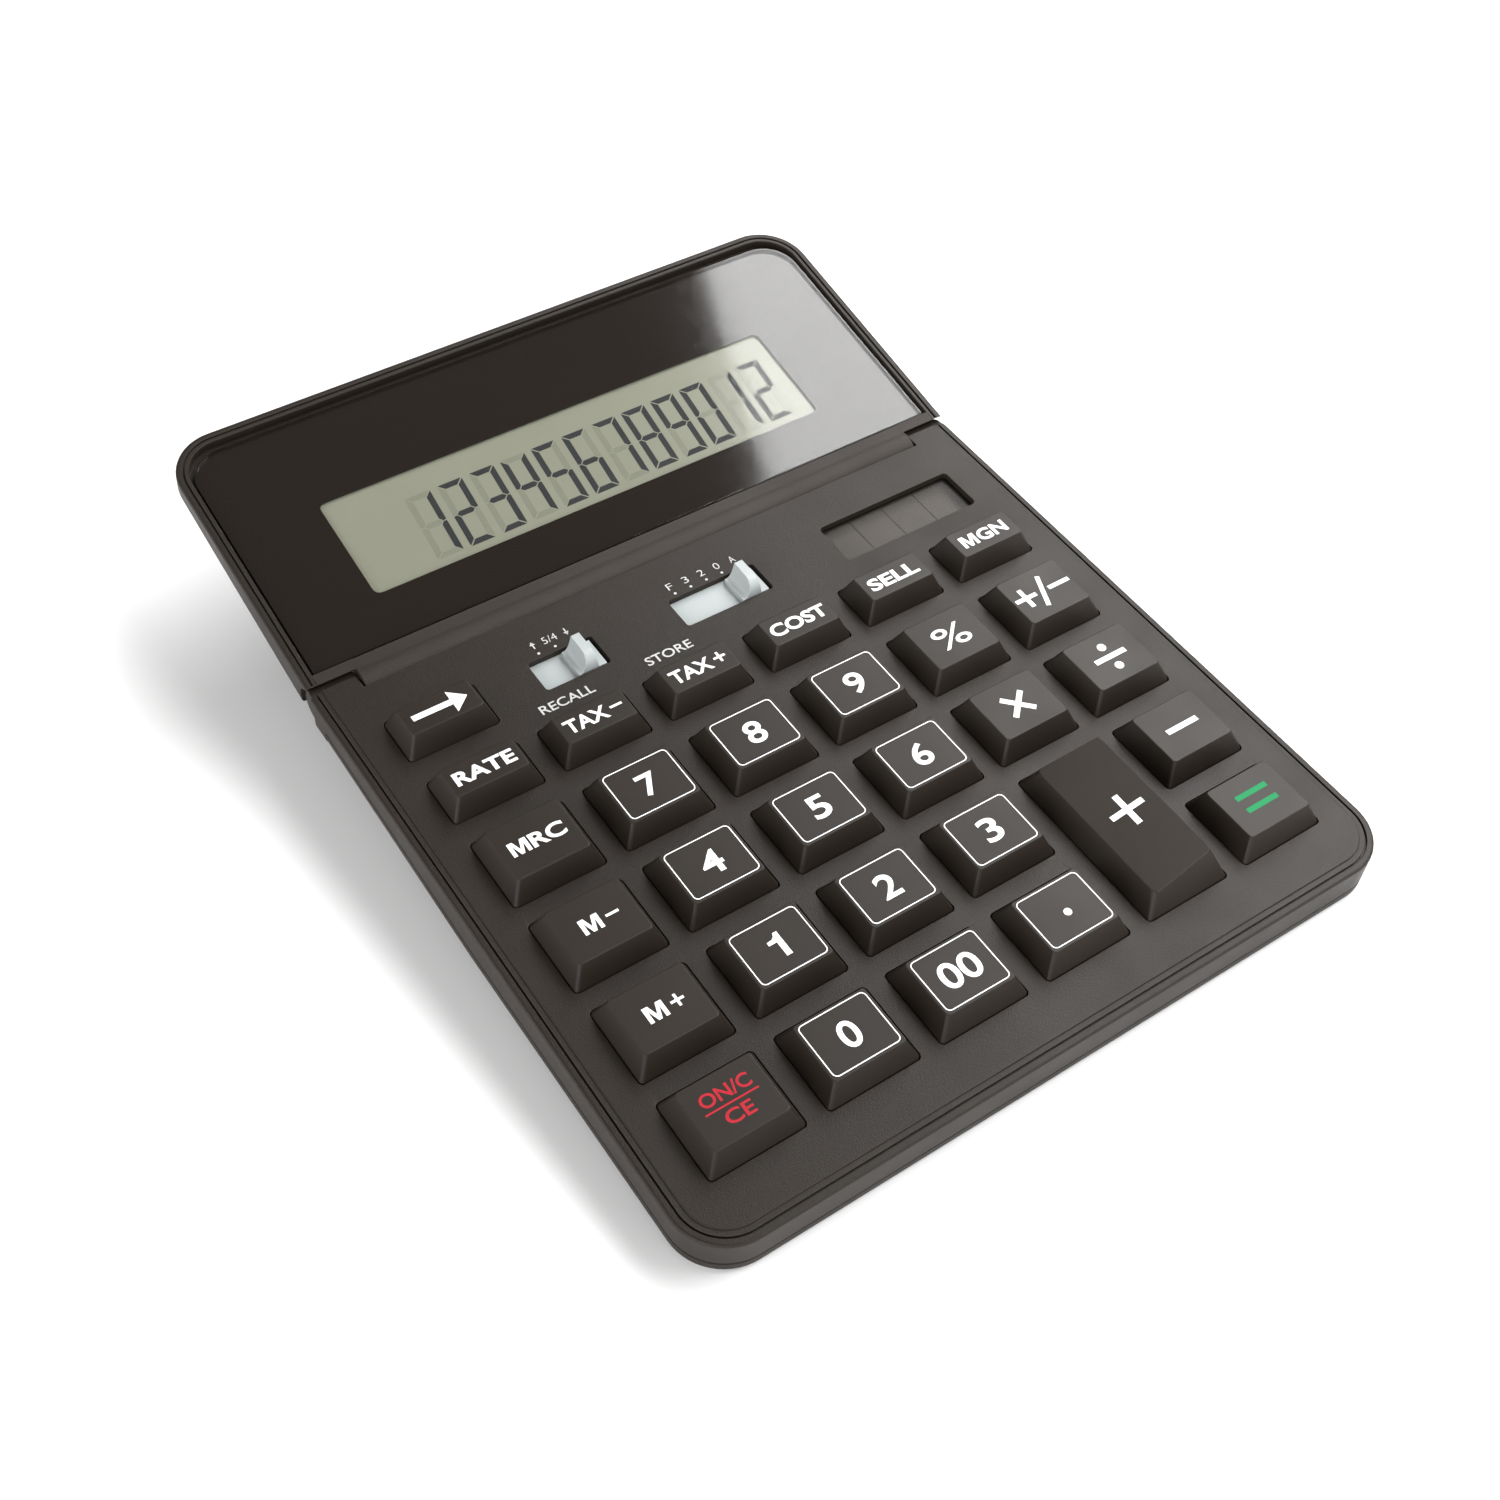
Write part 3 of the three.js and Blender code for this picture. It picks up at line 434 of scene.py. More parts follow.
class Print(Solid):
    """Ink on a face: words and strokes, each a thin closed body standing on surface(x, y)."""

    def __init__(self, surface):
        super().__init__()
        self.surface = surface

    def lay(self, points, faces):
        start = len(self.points)
        for x, y, up in points:
            self.points.append(Vector((x, y, self.surface(x, y) - SUNK + INK * up)))
        for face in faces:
            self.face([start + i for i in face])

    def word(self, text, x, y, width, height, bold):
        unit, faces = glyphs(text, bold)
        self.lay([(x + (p.x - 0.5) * width, y + (p.y - 0.5) * height, p.z) for p in unit], faces)

    def outline(self, points):
        """A filled outline."""
        count = len(points)
        flat = [(x, y, 0) for x, y in points] + [(x, y, 1) for x, y in points]
        triangles = tessellate_polygon([[(x, y, 0) for x, y in points]])
        faces = [tuple(t) for t in triangles]
        faces += [tuple(i + count for i in t) for t in triangles]
        faces += [(i, (i + 1) % count, (i + 1) % count + count, i + count) for i in range(count)]
        self.lay(flat, faces)

    def own(self, sign, x, y, width, height):
        """A sign from OWN_GLYPHS, centred at x, y."""
        self.outline([(x + (u - 0.5) * width, y + (v - 0.5) * height) for u, v in OWN_GLYPHS[sign]])

    def cross(self, centre, arm, width, turn=0):
        """Two crossing bars as one outline."""
        w = width / 2
        quarter = [(arm, -w), (arm, w), (w, w)]
        points = []
        for i in range(4):
            c, s = math.cos(math.radians(90 * i + turn)), math.sin(math.radians(90 * i + turn))
            points += [(centre[0] + c * x - s * y, centre[1] + s * x + c * y) for x, y in quarter]
        self.outline(points)

    def bar(self, a, b, width):
        a, b = Vector(a), Vector(b)
        along = (b - a).normalized()
        side = Vector((-along.y, along.x)) * width / 2
        self.outline([a - side, b - side, b + side, a + side])

    def disc(self, centre, radius, corners=28):
        self.outline(arc(centre, radius, 0, 360 - 360 / corners, corners - 1))

    def ring(self, outer, inner):
        """A closed line between two outlines with the same number of points."""
        count = len(outer)
        points = [(x, y, up) for up in (0, 1) for loop in (outer, inner) for x, y in loop]
        faces = []
        for i in range(count):
            k = (i + 1) % count
            faces.append((i, k, count + k, count + i))
            faces.append((2 * count + i, 2 * count + k, 3 * count + k, 3 * count + i))
            faces.append((i, k, 2 * count + k, 2 * count + i))
            faces.append((count + i, count + k, 3 * count + k, 3 * count + i))
        self.lay(points, faces)


# -------- keys
KEY_CLEAR = 0.22                  # gap between a key and its opening
KEY_INSET = 2.2                   # of the top's edge, from the opening
KEY_RISE = 4.4                    # of the top above the deck
KEY_CORNER = 0.75                 # plan rounding of a key
EDGE = 0.2                        # rounding of a key's upper edges
PLUS_SLOPE = 2.3 / 13.2           # the plus key's top rises to the right
LINED = ["7", "8", "9", "4", "5", "6", "1", "2", "3", "0", "00", "point"]


class Key:
    """A key's opening in the deck, and the plane of its top."""

    def __init__(self, name):
        low, high = local_box("key_" + name, DECK)
        self.name, self.body = name, "button_" + name
        self.x0, self.x1 = low.x + FLANGE, high.x - FLANGE
        self.y0, self.y1 = low.y + FLANGE, high.y - FLANGE
        self.bottom = low.z
        self.slope = PLUS_SLOPE if name == "plus" else 0.0
        self.middle = ((self.x0 + self.x1) / 2, (self.y0 + self.y1) / 2)

    def top(self, x, y):
        return KEY_RISE + (x - self.x0 - KEY_INSET) * self.slope


keys = [Key(n[len("key_"):]) for n in sorted(frame["nodes"]) if n.startswith("key_")]


def make_key(key):
    """A cap with leaning sides: flange, skirt, leaning flanks, and a rounded upper edge."""
    solid = Solid()
    x0, y0, x1, y1 = key.x0, key.y0, key.x1, key.y1
    flange_top = key.bottom + 0.7
    skirt = [
        (-FLANGE + 0.1, key.bottom, 0.3), (-FLANGE, key.bottom + 0.1, 0.4), (-FLANGE, flange_top, 0.4),
        (KEY_CLEAR, flange_top, KEY_CORNER), (KEY_CLEAR, -0.5, KEY_CORNER), (KEY_CLEAR, 0.0, KEY_CORNER),
    ]
    rows = [
        solid.row(level(rounded(x0 + e, y0 + e, x1 - e, y1 - e, radius, 4), z)) for e, z, radius in skirt
    ]

    def crown(depth):
        """Points round the flanks at a depth below the top, the sides leaning in on the way up."""
        left = key.top(x0 + KEY_INSET, 0) - depth
        rise = key.slope * (x1 - x0 - 2 * KEY_INSET) / (1 + key.slope * KEY_INSET / KEY_RISE)
        lean = (KEY_INSET - KEY_CLEAR) / KEY_RISE
        inset_left, inset_right = KEY_CLEAR + lean * left, KEY_CLEAR + lean * (left + rise)
        points = []
        for u, v in rounded(0, 0, 1, 1, KEY_CORNER / 16, 4):
            inset = inset_left + (inset_right - inset_left) * u
            x = x0 + inset_left + u * (x1 - x0 - inset_left - inset_right)
            y = y0 + inset + v * (y1 - y0 - 2 * inset)
            points.append((x, y, left + rise * u))
        return points

    # the upper edge: a quarter round in steps, as wide as EDGE and nearly as high
    steps, high = 4, EDGE * 0.9
    flank, peak = crown(high), crown(0)
    rows.append(solid.row(flank))
    centre_x, centre_y = key.middle
    for i in range(1, steps + 1):
        angle = math.radians(90 * i / steps)
        inward, drop = EDGE * (1 - math.cos(angle)), high * (1 - math.sin(angle))
        rows.append(solid.row([
            (x + math.copysign(inward, centre_x - x), y + math.copysign(inward, centre_y - y), top - drop)
            for (x, y, _), (_, _, top) in zip(flank, peak)
        ]))
    solid.loft(rows)
    solid.build("cap_" + key.name, DECK, key_plastic, key.body, "key_plastic", ["key_" + key.name])


TEXTS = {                         # by key: word, width, height
    "rate": ("RATE", 12.0, 3.1), "cost": ("COST", 12.6, 3.2), "sell": ("SELL", 11.4, 3.2),
    "percent": ("%", 7.3, 5.4), "00": ("00", 7.9, 5.2), "0": ("0", 3.6, 5.2), "2": ("2", 3.8, 5.1),
    "3": ("3", 3.8, 5.2), "4": ("4", 4.1, 5.0), "5": ("5", 3.8, 5.1), "6": ("6", 3.8, 5.2),
    "7": ("7", 3.7, 5.0), "8": ("8", 3.8, 5.2), "9": ("9", 3.8, 5.2),
}
WEIGHT = {"percent": 0.002, "rate": 0.03, "cost": 0.03, "sell": 0.03}
DIGIT_WEIGHT = 0.016              # how far an outline is thickened, as the font's own measure
WORD_WEIGHT = 0.028


def make_legend(key):
    """The printed sign of a key, drawn from its middle, and the frame line of the digit keys."""
    mark = Print(key.top)
    x, y = key.middle
    material = white_ink
    if key.name in TEXTS:
        word, width, height = TEXTS[key.name]
        mark.word(word, x, y, width, height, WEIGHT.get(key.name, DIGIT_WEIGHT))
    if key.name == "1":
        mark.own("1", x - 0.1, y, 2.7, 5.0)
    if key.name == "mrc":
        mark.own("M", x - 3.55, y, 3.6, 3.1)
        mark.word("RC", x + 2.0, y, 6.7, 3.2, WORD_WEIGHT)
    if key.name == "mgn":
        mark.own("M", x - 3.7, y, 3.6, 3.1)
        mark.word("GN", x + 2.0, y, 6.9, 3.2, WORD_WEIGHT)
    if key.name in LINED:
        edge = KEY_INSET + 0.45
        loops = [
            rounded(key.x0 + e, key.y0 + e, key.x1 - e, key.y1 - e, 1.0 - (e - edge), 5)
            for e in (edge, edge + 0.2)
        ]
        mark.ring(*loops)
    if key.name == "point":
        mark.disc((x + 0.2, y - 0.6), 0.75)
    if key.name == "arrow":
        tail, neck, tip = x - 5.6, x + 2.4, x + 5.6
        mark.outline([
            (tail, y - 0.65), (neck, y - 0.65), (neck, y - 2.7), (tip, y), (neck, y + 2.7),
            (neck, y + 0.65), (tail, y + 0.65),
        ])
    if key.name in ("tax_minus", "tax_plus"):
        mark.word("TAX", x - 1.7, y, 8.7, 3.2, 0.022)
        if key.name == "tax_plus":
            mark.cross((x + 4.65, y + 0.2), 1.25, 0.5)
        else:
            mark.bar((x + 3.4, y + 0.2), (x + 5.9, y + 0.2), 0.5)
    if key.name in ("m_minus", "m_plus"):
        mark.own("M", x - 1.4, y, 3.7, 3.2)
        if key.name == "m_plus":
            mark.cross((x + 2.75, y + 0.1), 1.25, 0.5)
        else:
            mark.bar((x + 1.5, y + 0.1), (x + 4.0, y + 0.1), 0.5)
    if key.name == "on_c_ce":
        material = red_ink
        mark.word("ON/C", x, y + 2.2, 9.3, 2.6, DIGIT_WEIGHT)
        mark.word("CE", x, y - 2.2, 5.2, 2.6, DIGIT_WEIGHT)
        mark.bar((x - 5.0, y), (x + 5.0, y), 0.32)
    if key.name == "sign":
        mark.cross((x - 4.05, y + 0.1), 2.5, 0.95)
        mark.bar((x - 1.4, y - 3.6), (x + 1.5, y + 3.7), 0.95)
        mark.bar((x + 1.5, y + 0.1), (x + 6.6, y + 0.1), 0.95)
    if key.name in ("divide", "minus"):
        mark.bar((x - 3.65, y), (x + 3.65, y), 1.15)
    if key.name == "divide":
        mark.disc((x, y + 2.6), 0.9)
        mark.disc((x, y - 2.6), 0.9)
    if key.name == "multiply":
        mark.cross((x, y), 3.4, 1.1, 45)
    if key.name == "plus":
        mark.cross((x, y), 3.5, 1.15)
    if key.name == "equals":
        material = green_ink
        for offset in (-1.5, 1.5):
            mark.bar((x - 3.65, y + offset + 0.3), (x + 3.65, y + offset + 0.3), 1.1)
    mark.build("legend_" + key.name, DECK, material, key.body, "key_plastic", sharp=30)


# -------- keypad body
PARTING = [(-20, -6.1), (62, -7.2), (116.4, -4.7)]     # lower edge of the upper shell: y, z
CASE_STEP = 116.4                                      # behind this the hinge lip hangs lower
LIP = -7.2                                             # lower edge of that lip
REAR_WALL = 114.6                                      # rear end of the hollow under the deck
EAR_CORNER = 1.1                                       # plan rounding of the two rear corners
SWITCHES = {"rounding": (-36.3, -22.3), "decimal": (-4.95, 15.0)}      # windows, left and right
SWITCH_FRONT, SWITCH_REAR = 100.3, 108.0
SOLAR = (32.2, 98.6, 64.5, 109.1)                      # window: x0, y0, x1, y1


def parting(y):
    """Height of the upper shell's lower edge."""
    (y0, z0), (y1, z1), (y2, z2) = PARTING
    if y < y1:
        return z0 + (z1 - z0) * (y - y0) / (y1 - y0)
    return z1 + (z2 - z1) * (min(y, y2) - y1) / (y2 - y1)


def u_path(inset, ys, steps=14):
    """Stations (x, y) from the left rear round the front to the right rear, at an inset."""
    radius = CORNER - inset
    back = AXIS_Y - EAR_CORNER + math.sqrt(EAR_CORNER ** 2 - max(EAR_CORNER - inset, 0.0) ** 2)
    ys = [min(y, back) for y in ys]
    left = [(-HALF + inset, y) for y in ys]
    first = arc((-HALF + CORNER, FRONT + CORNER), radius, 180, 270, steps)
    second = arc((HALF - CORNER, FRONT + CORNER), radius, 270, 360, steps)
    right = [(HALF - inset, y) for y in reversed(ys)]
    return left + first + second + right


def rim_profile():
    """(inset, z) from the deck's rounded edge out over the rim and its groove to the side wall."""
    outer, inner, depth = GROOVE
    deck_round, rim_round, soft = 0.22, 0.6, 0.06
    points = [(RIM_WIDTH + u, z) for u, z in arc((deck_round, -deck_round), deck_round, 90, 180, 4)]
    points += [(RIM_WIDTH, RIM), (inner + soft, RIM), (inner, RIM - soft), (inner, RIM - depth)]
    points += [(outer, RIM - depth), (outer, RIM - soft), (outer - soft, RIM)]
    return points + arc((rim_round, RIM - rim_round), rim_round, 90, 180, 6)


def barrel_edge(z):
    """How far back the deck reaches at a height, over the room for the head's barrel."""
    return AXIS_Y - math.sqrt(max(BARREL_ROOM ** 2 - (z - AXIS_Z) ** 2, 0.0))


def make_top_case():
    """The upper shell with its openings, its ears, and the trough for the head's barrel."""
    solid = Solid()
    ys = [AXIS_Y, CASE_STEP + 0.05, CASE_STEP - 0.05, 90, 62, 30]
    rows = [solid.row(level(u_path(inset, ys), z)) for inset, z in rim_profile()]
    count = len(rows[0])
    lower = [
        (x, y, LIP if i in (0, 1, count - 1, count - 2) else parting(y))
        for i, (x, y) in enumerate(u_path(0, ys))
    ]
    wall = solid.row([(x, y, z + 0.15) for x, y, z in lower])
    rows += [wall, solid.row([(x - math.copysign(0.12, x), y, z) for x, y, z in lower])]
    solid.skin(rows, closed=False)
    lower = rows[-1]

    # ear faces and the trough for the barrel
    heights = [0.0, -0.08, -0.25, -0.8, -1.6, -2.6, -3.6, -4.6, -5.6, LIP]
    soft = [0.25, 0.08] + [0.0] * (len(heights) - 2)
    trough = [
        solid.row([(-EAR - s, barrel_edge(z) - s, z), (EAR + s, barrel_edge(z) - s, z)])
        for z, s in zip(heights, soft)
    ]
    ears = {}
    for side, end in ((0, 0), (1, -1)):
        sign = 1 if side else -1
        rear = solid.row([(sign * (EAR + s), AXIS_Y, z) for z, s in zip(heights, soft)])
        for i in range(len(heights) - 1):
            solid.face((rear[i], rear[i + 1], trough[i + 1][side], trough[i][side]))
        ears[side] = rear
        solid.fill([[row[end] for row in rows] + rear[::-1]], axes=(0, 2))
    solid.skin(trough, closed=False)

    # underside: ring up to the step, the step itself, and the lip behind it
    cavity_plan = u_path(WALL, [REAR_WALL - 0.01, 90, 62, 30])
    cavity_low = solid.row([(x, y, parting(y)) for x, y in cavity_plan])
    cavity_high = solid.row(level(cavity_plan, -DECK_THICK))
    solid.fill([lower[2:-2], cavity_low])
    solid.face((lower[1], lower[2], lower[-3], lower[-2]))
    lip = [lower[1], lower[0], ears[0][-1], trough[-1][0], trough[-1][1], ears[1][-1], lower[-1], lower[-2]]
    solid.fill([lip])
    solid.bridge(cavity_low, cavity_high)

    # deck with its openings
    top_loops, low_loops = [], []

    def opening(x0, y0, x1, y1, radius, edge):
        """A hole through the deck; edge lists (outset, z) of its upper edge, downward."""
        loops = [
            solid.row(level(rounded(x0 - e, y0 - e, x1 + e, y1 + e, radius + e), z))
            for e, z in edge + [(0.0, -DECK_THICK)]
        ]
        solid.skin(loops)
        top_loops.append(loops[0])
        low_loops.append(loops[-1])

    soft_edge = arc((0.1, -0.1), 0.1, 90, 180, 3) + [(0.0, -0.9)]
    for key in keys:
        opening(key.x0, key.y0, key.x1, key.y1, 0.9, soft_edge)
    for x0, x1 in SWITCHES.values():
        opening(x0, SWITCH_FRONT, x1, SWITCH_REAR, 0.7, soft_edge)
    opening(*SOLAR, 0.9, [(0.15, 0.0), (0.05, -0.05), (0.0, -0.2)])
    deck = rows[0] + [ears[1][0], trough[0][1], trough[0][0], ears[0][0]]
    solid.fill([deck] + top_loops)
    solid.fill([cavity_high] + low_loops)
    solid.build("upper_shell", DECK, case_plastic, KEYPAD, "case_plastic", ["top_case"])


def make_knuckles():
    """The rounded knuckle behind each ear."""
    knuckle = Solid()
    for side in (-1, 1):
        outer = HALF - 0.5
        spans = [
            (EAR, 0.25), (EAR + 0.12, 0.06), (EAR + 0.3, 0.0),
            (outer - 0.7, 0.0), (outer - 0.2, 0.15), (outer, 0.5),
        ]
        rings = [
            knuckle.row([
                (side * x, AXIS_Y + (KNUCKLE - cut) * c - 0.05, AXIS_Z + min((KNUCKLE - cut) * s, 3.2))
                for c, s in arc((0, 0), 1, -150, 90, 20)
            ])
            for x, cut in spans
        ]
        knuckle.loft(rings, axes=(1, 2))
    knuckle.build("hinge_knuckles", DECK, case_plastic, KEYPAD, "case_plastic")


# -------- slide switches
def blend_low(a, b, soft):
    """The lower of two heights, with a rounded meeting."""
    h = max(soft - abs(a - b), 0.0) / soft
    return min(a, b) - h * h * soft / 4


def make_slider(name, fin_place):
    """Track plate and finger knob: a fin hollowed on its left flank, sloping to the front.

    fin_place is the distance from the plate's right end to the fin's middle.
    """
    node = name + "_slider"
    low, high = local_box(node, DECK)
    solid = Solid()
    plate_top, soft = -1.4, 0.15
    plate_edge = [(soft, low.z), (0, low.z + soft), (0, plate_top - soft), (soft, plate_top)]
    solid.slab(low, high, 0.4, plate_edge)
    knob = high.x - fin_place
    half, fin, foot = 3.0, 0.9, 0.45       # half width of knob and fin, width of the right flank
    step, peak = -0.3, high.z              # levels of the knob's step and the fin's ridge
    front, rear = SWITCH_FRONT + 0.4, SWITCH_REAR - 0.6

    def across(x):
        """Height over x, from the left edge over the hollow flank and the fin to the right."""
        if x < -fin:
            return step + (peak - step) * ((x + half) / (half - fin)) ** 3.2
        if x <= fin:
            return peak
        share = min((x - fin) / foot, 1.0)
        return peak + (step + 0.1 - peak) * (1 - math.cos(share * math.pi)) / 2

    def along(y):
        """Height over y: level at the rear, curving down to the front."""
        flat = rear - 2.8
        if y >= flat:
            return peak + 0.35
        share = (flat - y) / (flat - front)
        return step + (peak + 0.1 - step) * math.sqrt(max(1 - share ** 2.3, 0.0))

    columns = [-half + (half - fin) * i / 16 for i in range(17)]
    columns += [-fin + 2 * fin * i / 6 for i in range(1, 7)]
    columns += [fin + foot * i / 6 for i in range(1, 7)]
    columns += [fin + foot + (half - fin - foot) * i / 4 for i in range(1, 5)]
    lines = [front + (rear - front) * i / 36 for i in range(37)]
    grid = [
        solid.row([(knob + x, y, max(blend_low(across(x), along(y), 0.3), step - 0.12)) for x in columns])
        for y in lines
    ]
    solid.skin(grid, closed=False)
    edge = grid[0] + [row[-1] for row in grid[1:-1]] + grid[-1][::-1] + [row[0] for row in grid[-2:0:-1]]
    base = solid.row([(solid.points[i].x, solid.points[i].y, plate_top - 0.1) for i in edge])
    solid.bridge(edge, base)
    solid.fill([base])
    solid.build(name + "_switch", DECK, slider_plastic, name + "_knob", "slider_plastic", [node], sharp=36)


def make_deck_print():
    """Position marks of the switches, and the two words above the tax keys."""
    mark = Print(lambda x, y: 0.0)
    for word, x, width in (("RECALL", -34.3, 11.4), ("STORE", -11.9, 10.1)):
        mark.word(word, x, 96.5, width, 2.15, 0.008)
    for i in range(3):
        mark.disc((-33.0 + 3.6 * i, 109.2), 0.28)
    for x, tip in ((-33.0, 1), (-25.8, -1)):
        mark.bar((x, 110.6), (x, 112.4), 0.25)
        top = 111.5 + 0.95 * tip
        mark.outline([(x - 0.55, top - 0.85 * tip), (x + 0.55, top - 0.85 * tip), (x, top)])
    mark.word("5/4", -29.4, 111.5, 3.0, 1.75, -0.008)
    for i, sign in enumerate("F320A"):
        x = -2.44 + 3.65 * i
        mark.disc((x, 109.0), 0.28)
        mark.word(sign, x, 111.1, 1.2, 1.7, -0.008)
    mark.build("deck_print", DECK, grey_ink, KEYPAD, "case_plastic", sharp=30)


# -------- solar cell
def make_solar():
    """The cell with its three dividing lines, under a clear pane."""
    x0, y0, x1, y1 = SOLAR
    low, high = local_box("solar_cell", DECK)
    film = Solid()
    film.slab(low, high, 0.2, [(0, low.z), (0, high.z - 0.05), (0.05, high.z)])
    film.build("solar_film", DECK, solar_film, KEYPAD, "solar_cell", ["solar_cell"])
    lines = Solid()
    for i in range(1, 4):
        x = x0 + (x1 - x0) * i / 4
        lines.loft([
            lines.row(level(rounded(x - 0.13, y0 - 0.2, x + 0.13, y1 + 0.2, 0.02, 1), z))
            for z in (high.z - 0.02, high.z + 0.02)
        ])
    divider = soft_material("solar_divider", (0.010, 0.008, 0.006), (0.014, 0.011, 0.009), 0.4, 0.05)
    lines.build("solar_dividers", DECK, divider, KEYPAD, "solar_cell")
    low, high = local_box("solar_window", DECK)
    pane = Solid()
    pane.slab(low, high, 0.3, [(0.1, low.z), (0, low.z + 0.1), (0, high.z - 0.1), (0.1, high.z)])
    pane.build("solar_pane", DECK, solar_glass, KEYPAD, "solar_glass", ["solar_window"])


# -------- display head
# The head frame's origin is on the hinge axis.
HEAD_RIM = 4.2                    # level of the rim
HEAD_FRONT = 1.7                  # front ends of the sides
HEAD_REAR = local_box("head_bezel", HEAD)[1].y
lens_low, lens_high = local_box("display_lens", HEAD)
LENS_CORNER = 7.7
LENS_GAP = 0.3                    # round the CAD lens's box
WINDOW = (-52.6, 15.8, 51.8, 40.2)         # clear window in the lens print: x0, y0, x1, y1
BARREL_HALF = 64.2                # half its length
BARREL = 4.5                      # radius
KNUCKLE = 3.7                     # radius of the body's knuckles
KNUCKLE_ROOM = 4.25               # radius of the hollow for them in the head's side ends
LENS_INSET = HALF - lens_high.x - LENS_GAP         # of the lens room, from the outer wall
LENS_FRONT = lens_low.y - LENS_GAP                 # front wall of the lens room
SEAT = lens_low.z - LENS_GAP                       # floor of the lens room
SEAT_THICK = 1.0
SIDE_YS = [6, 20, 40]                              # stations along the sides


def head_path(inset, ys, steps=14):
    """Stations from the right front round the rear to the left front."""
    radius = CORNER - inset
    right = [(HALF - inset, y) for y in ys]
    first = arc((HALF - CORNER, HEAD_REAR - CORNER), radius, 0, 90, steps)
    second = arc((-HALF + CORNER, HEAD_REAR - CORNER), radius, 90, 180, steps)
    left = [(-HALF + inset, y) for y in reversed(ys)]
    return right + first + second + left


def head_bottom(y):
    """Lower edge of the head's side wall, rising to the rear."""
    front, rear = -2.4, 0.9
    return front + (rear - front) * (y - HEAD_FRONT) / (HEAD_REAR - HEAD_FRONT)


def side_front(z):
    """Front end of the head's sides at a height, outside the room for the body's knuckles."""
    return max(HEAD_FRONT, math.sqrt(max(KNUCKLE_ROOM ** 2 - z * z, 0.0)))


def make_head_frame():
    """Frame round the lens: inner band, rim with its groove, and side wall."""
    solid = Solid()
    outer, inner, depth = GROOVE
    soft, rim_round = 0.1, 0.6
    profile = [(LENS_INSET, SEAT), (LENS_INSET, HEAD_RIM - 0.15), (LENS_INSET - 0.15, HEAD_RIM)]
    profile += [(inner + soft, HEAD_RIM), (inner, HEAD_RIM - soft), (inner, HEAD_RIM - depth)]
    profile += [(outer, HEAD_RIM - depth), (outer, HEAD_RIM - soft), (outer - soft, HEAD_RIM)]
    profile += arc((rim_round, HEAD_RIM - rim_round), rim_round, 90, 180, 6)
    rows = [solid.row(level(head_path(inset, [side_front(z)] + SIDE_YS), z)) for inset, z in profile]
    # down the outer wall, across its lower edge, and up its inner side, in fine steps
    shape = [(0.0, i / 8, 0.3) for i in range(1, 9)] + [(0.3, 1.0, 0.0)]
    shape += [(WALL, 1 - i / 6, 0.0) for i in range(7)]
    for inset, share, lift in shape:
        top = SEAT - SEAT_THICK if inset == WALL else HEAD_RIM - rim_round
        front = side_front(top + (head_bottom(3.5) + lift - top) * share)
        plan = head_path(inset, [front] + SIDE_YS)
        rows.append(solid.row([(x, y, top + (head_bottom(y) + lift - top) * share) for x, y in plan]))
    solid.skin(rows + rows[:1], closed=False)
    for end in (0, -1):
        solid.fill([[row[end] for row in rows]], axes=(0, 2))
    solid.build("head_frame", HEAD, case_plastic, DISPLAY, "case_plastic", ["head_bezel"])


def make_lens_seat():
    """The plate under the lens, with a window for the LCD panel."""
    solid = Solid()
    lcd_low, lcd_high = local_box("lcd_panel", HEAD)
    hole = (lcd_low.x - 0.3, lcd_low.y - 0.3, lcd_high.x + 0.3, lcd_high.y + 0.3)
    plate = head_path(LENS_INSET - 0.3, [LENS_FRONT - 0.05] + SIDE_YS)
    tops, lows = [], []
    for z, store in ((SEAT, tops), (SEAT - SEAT_THICK, lows)):
        store.append(solid.row(level(plate, z)))
        store.append(solid.row(level(rounded(*hole, 0.3), z)))
        solid.fill(store)
    solid.bridge(tops[0], lows[0])
    solid.bridge(tops[1], lows[1])
    solid.build("lens_seat", HEAD, case_plastic, DISPLAY, "case_plastic")


def make_hinge_barrel():
    """The bar in front of the lens with the hinge barrel, and its ends out to the rim."""
    bar = Solid()
    crease = math.degrees(math.asin(HEAD_RIM / BARREL))
    section = [(LENS_FRONT, SEAT), (LENS_FRONT, HEAD_RIM - 0.12), (LENS_FRONT - 0.12, HEAD_RIM)]
    section += arc((0, 0), BARREL, crease, 270, 30)
    section += [(LENS_FRONT, -3.2), (LENS_FRONT, SEAT - SEAT_THICK)]
    cuts = [(BARREL_HALF, 0.2), (BARREL_HALF - 0.08, 0.06), (BARREL_HALF - 0.25, 0.0)]
    spans = [(-x, c) for x, c in cuts] + [(x, c) for x, c in reversed(cuts)]
    middle = Vector((0.3, 0.0))
    rings = []
    for x, cut in spans:
        ring = []
        for point in section:
            away = Vector(point) - middle
            y, z = middle + away * (1 - cut / max(away.length, 0.1))
            ring.append((x, y, z))
        rings.append(bar.row(ring))
    bar.loft(rings, axes=(1, 2))
    # the ends run out to the rim above the body's ears
    for side in (-1, 1):
        steps = [HEAD_FRONT + (LENS_FRONT - HEAD_FRONT) * i / 8 for i in range(9)]
        shape = [(y, math.sqrt(KNUCKLE_ROOM ** 2 - y * y)) for y in steps]
        shape += [(LENS_FRONT, HEAD_RIM), (HEAD_FRONT, HEAD_RIM)]
        bar.loft([
            bar.row([(side * x, y, z) for y, z in shape])
            for x in (BARREL_HALF - 0.4, HALF - LENS_INSET + 0.05)
        ], axes=(1, 2))
    # the bar takes the case plastic painted lighter: painted light on the hinge band
    bar.build("hinge_barrel", HEAD, barrel_band_painted_lighter, DISPLAY, "case_plastic")


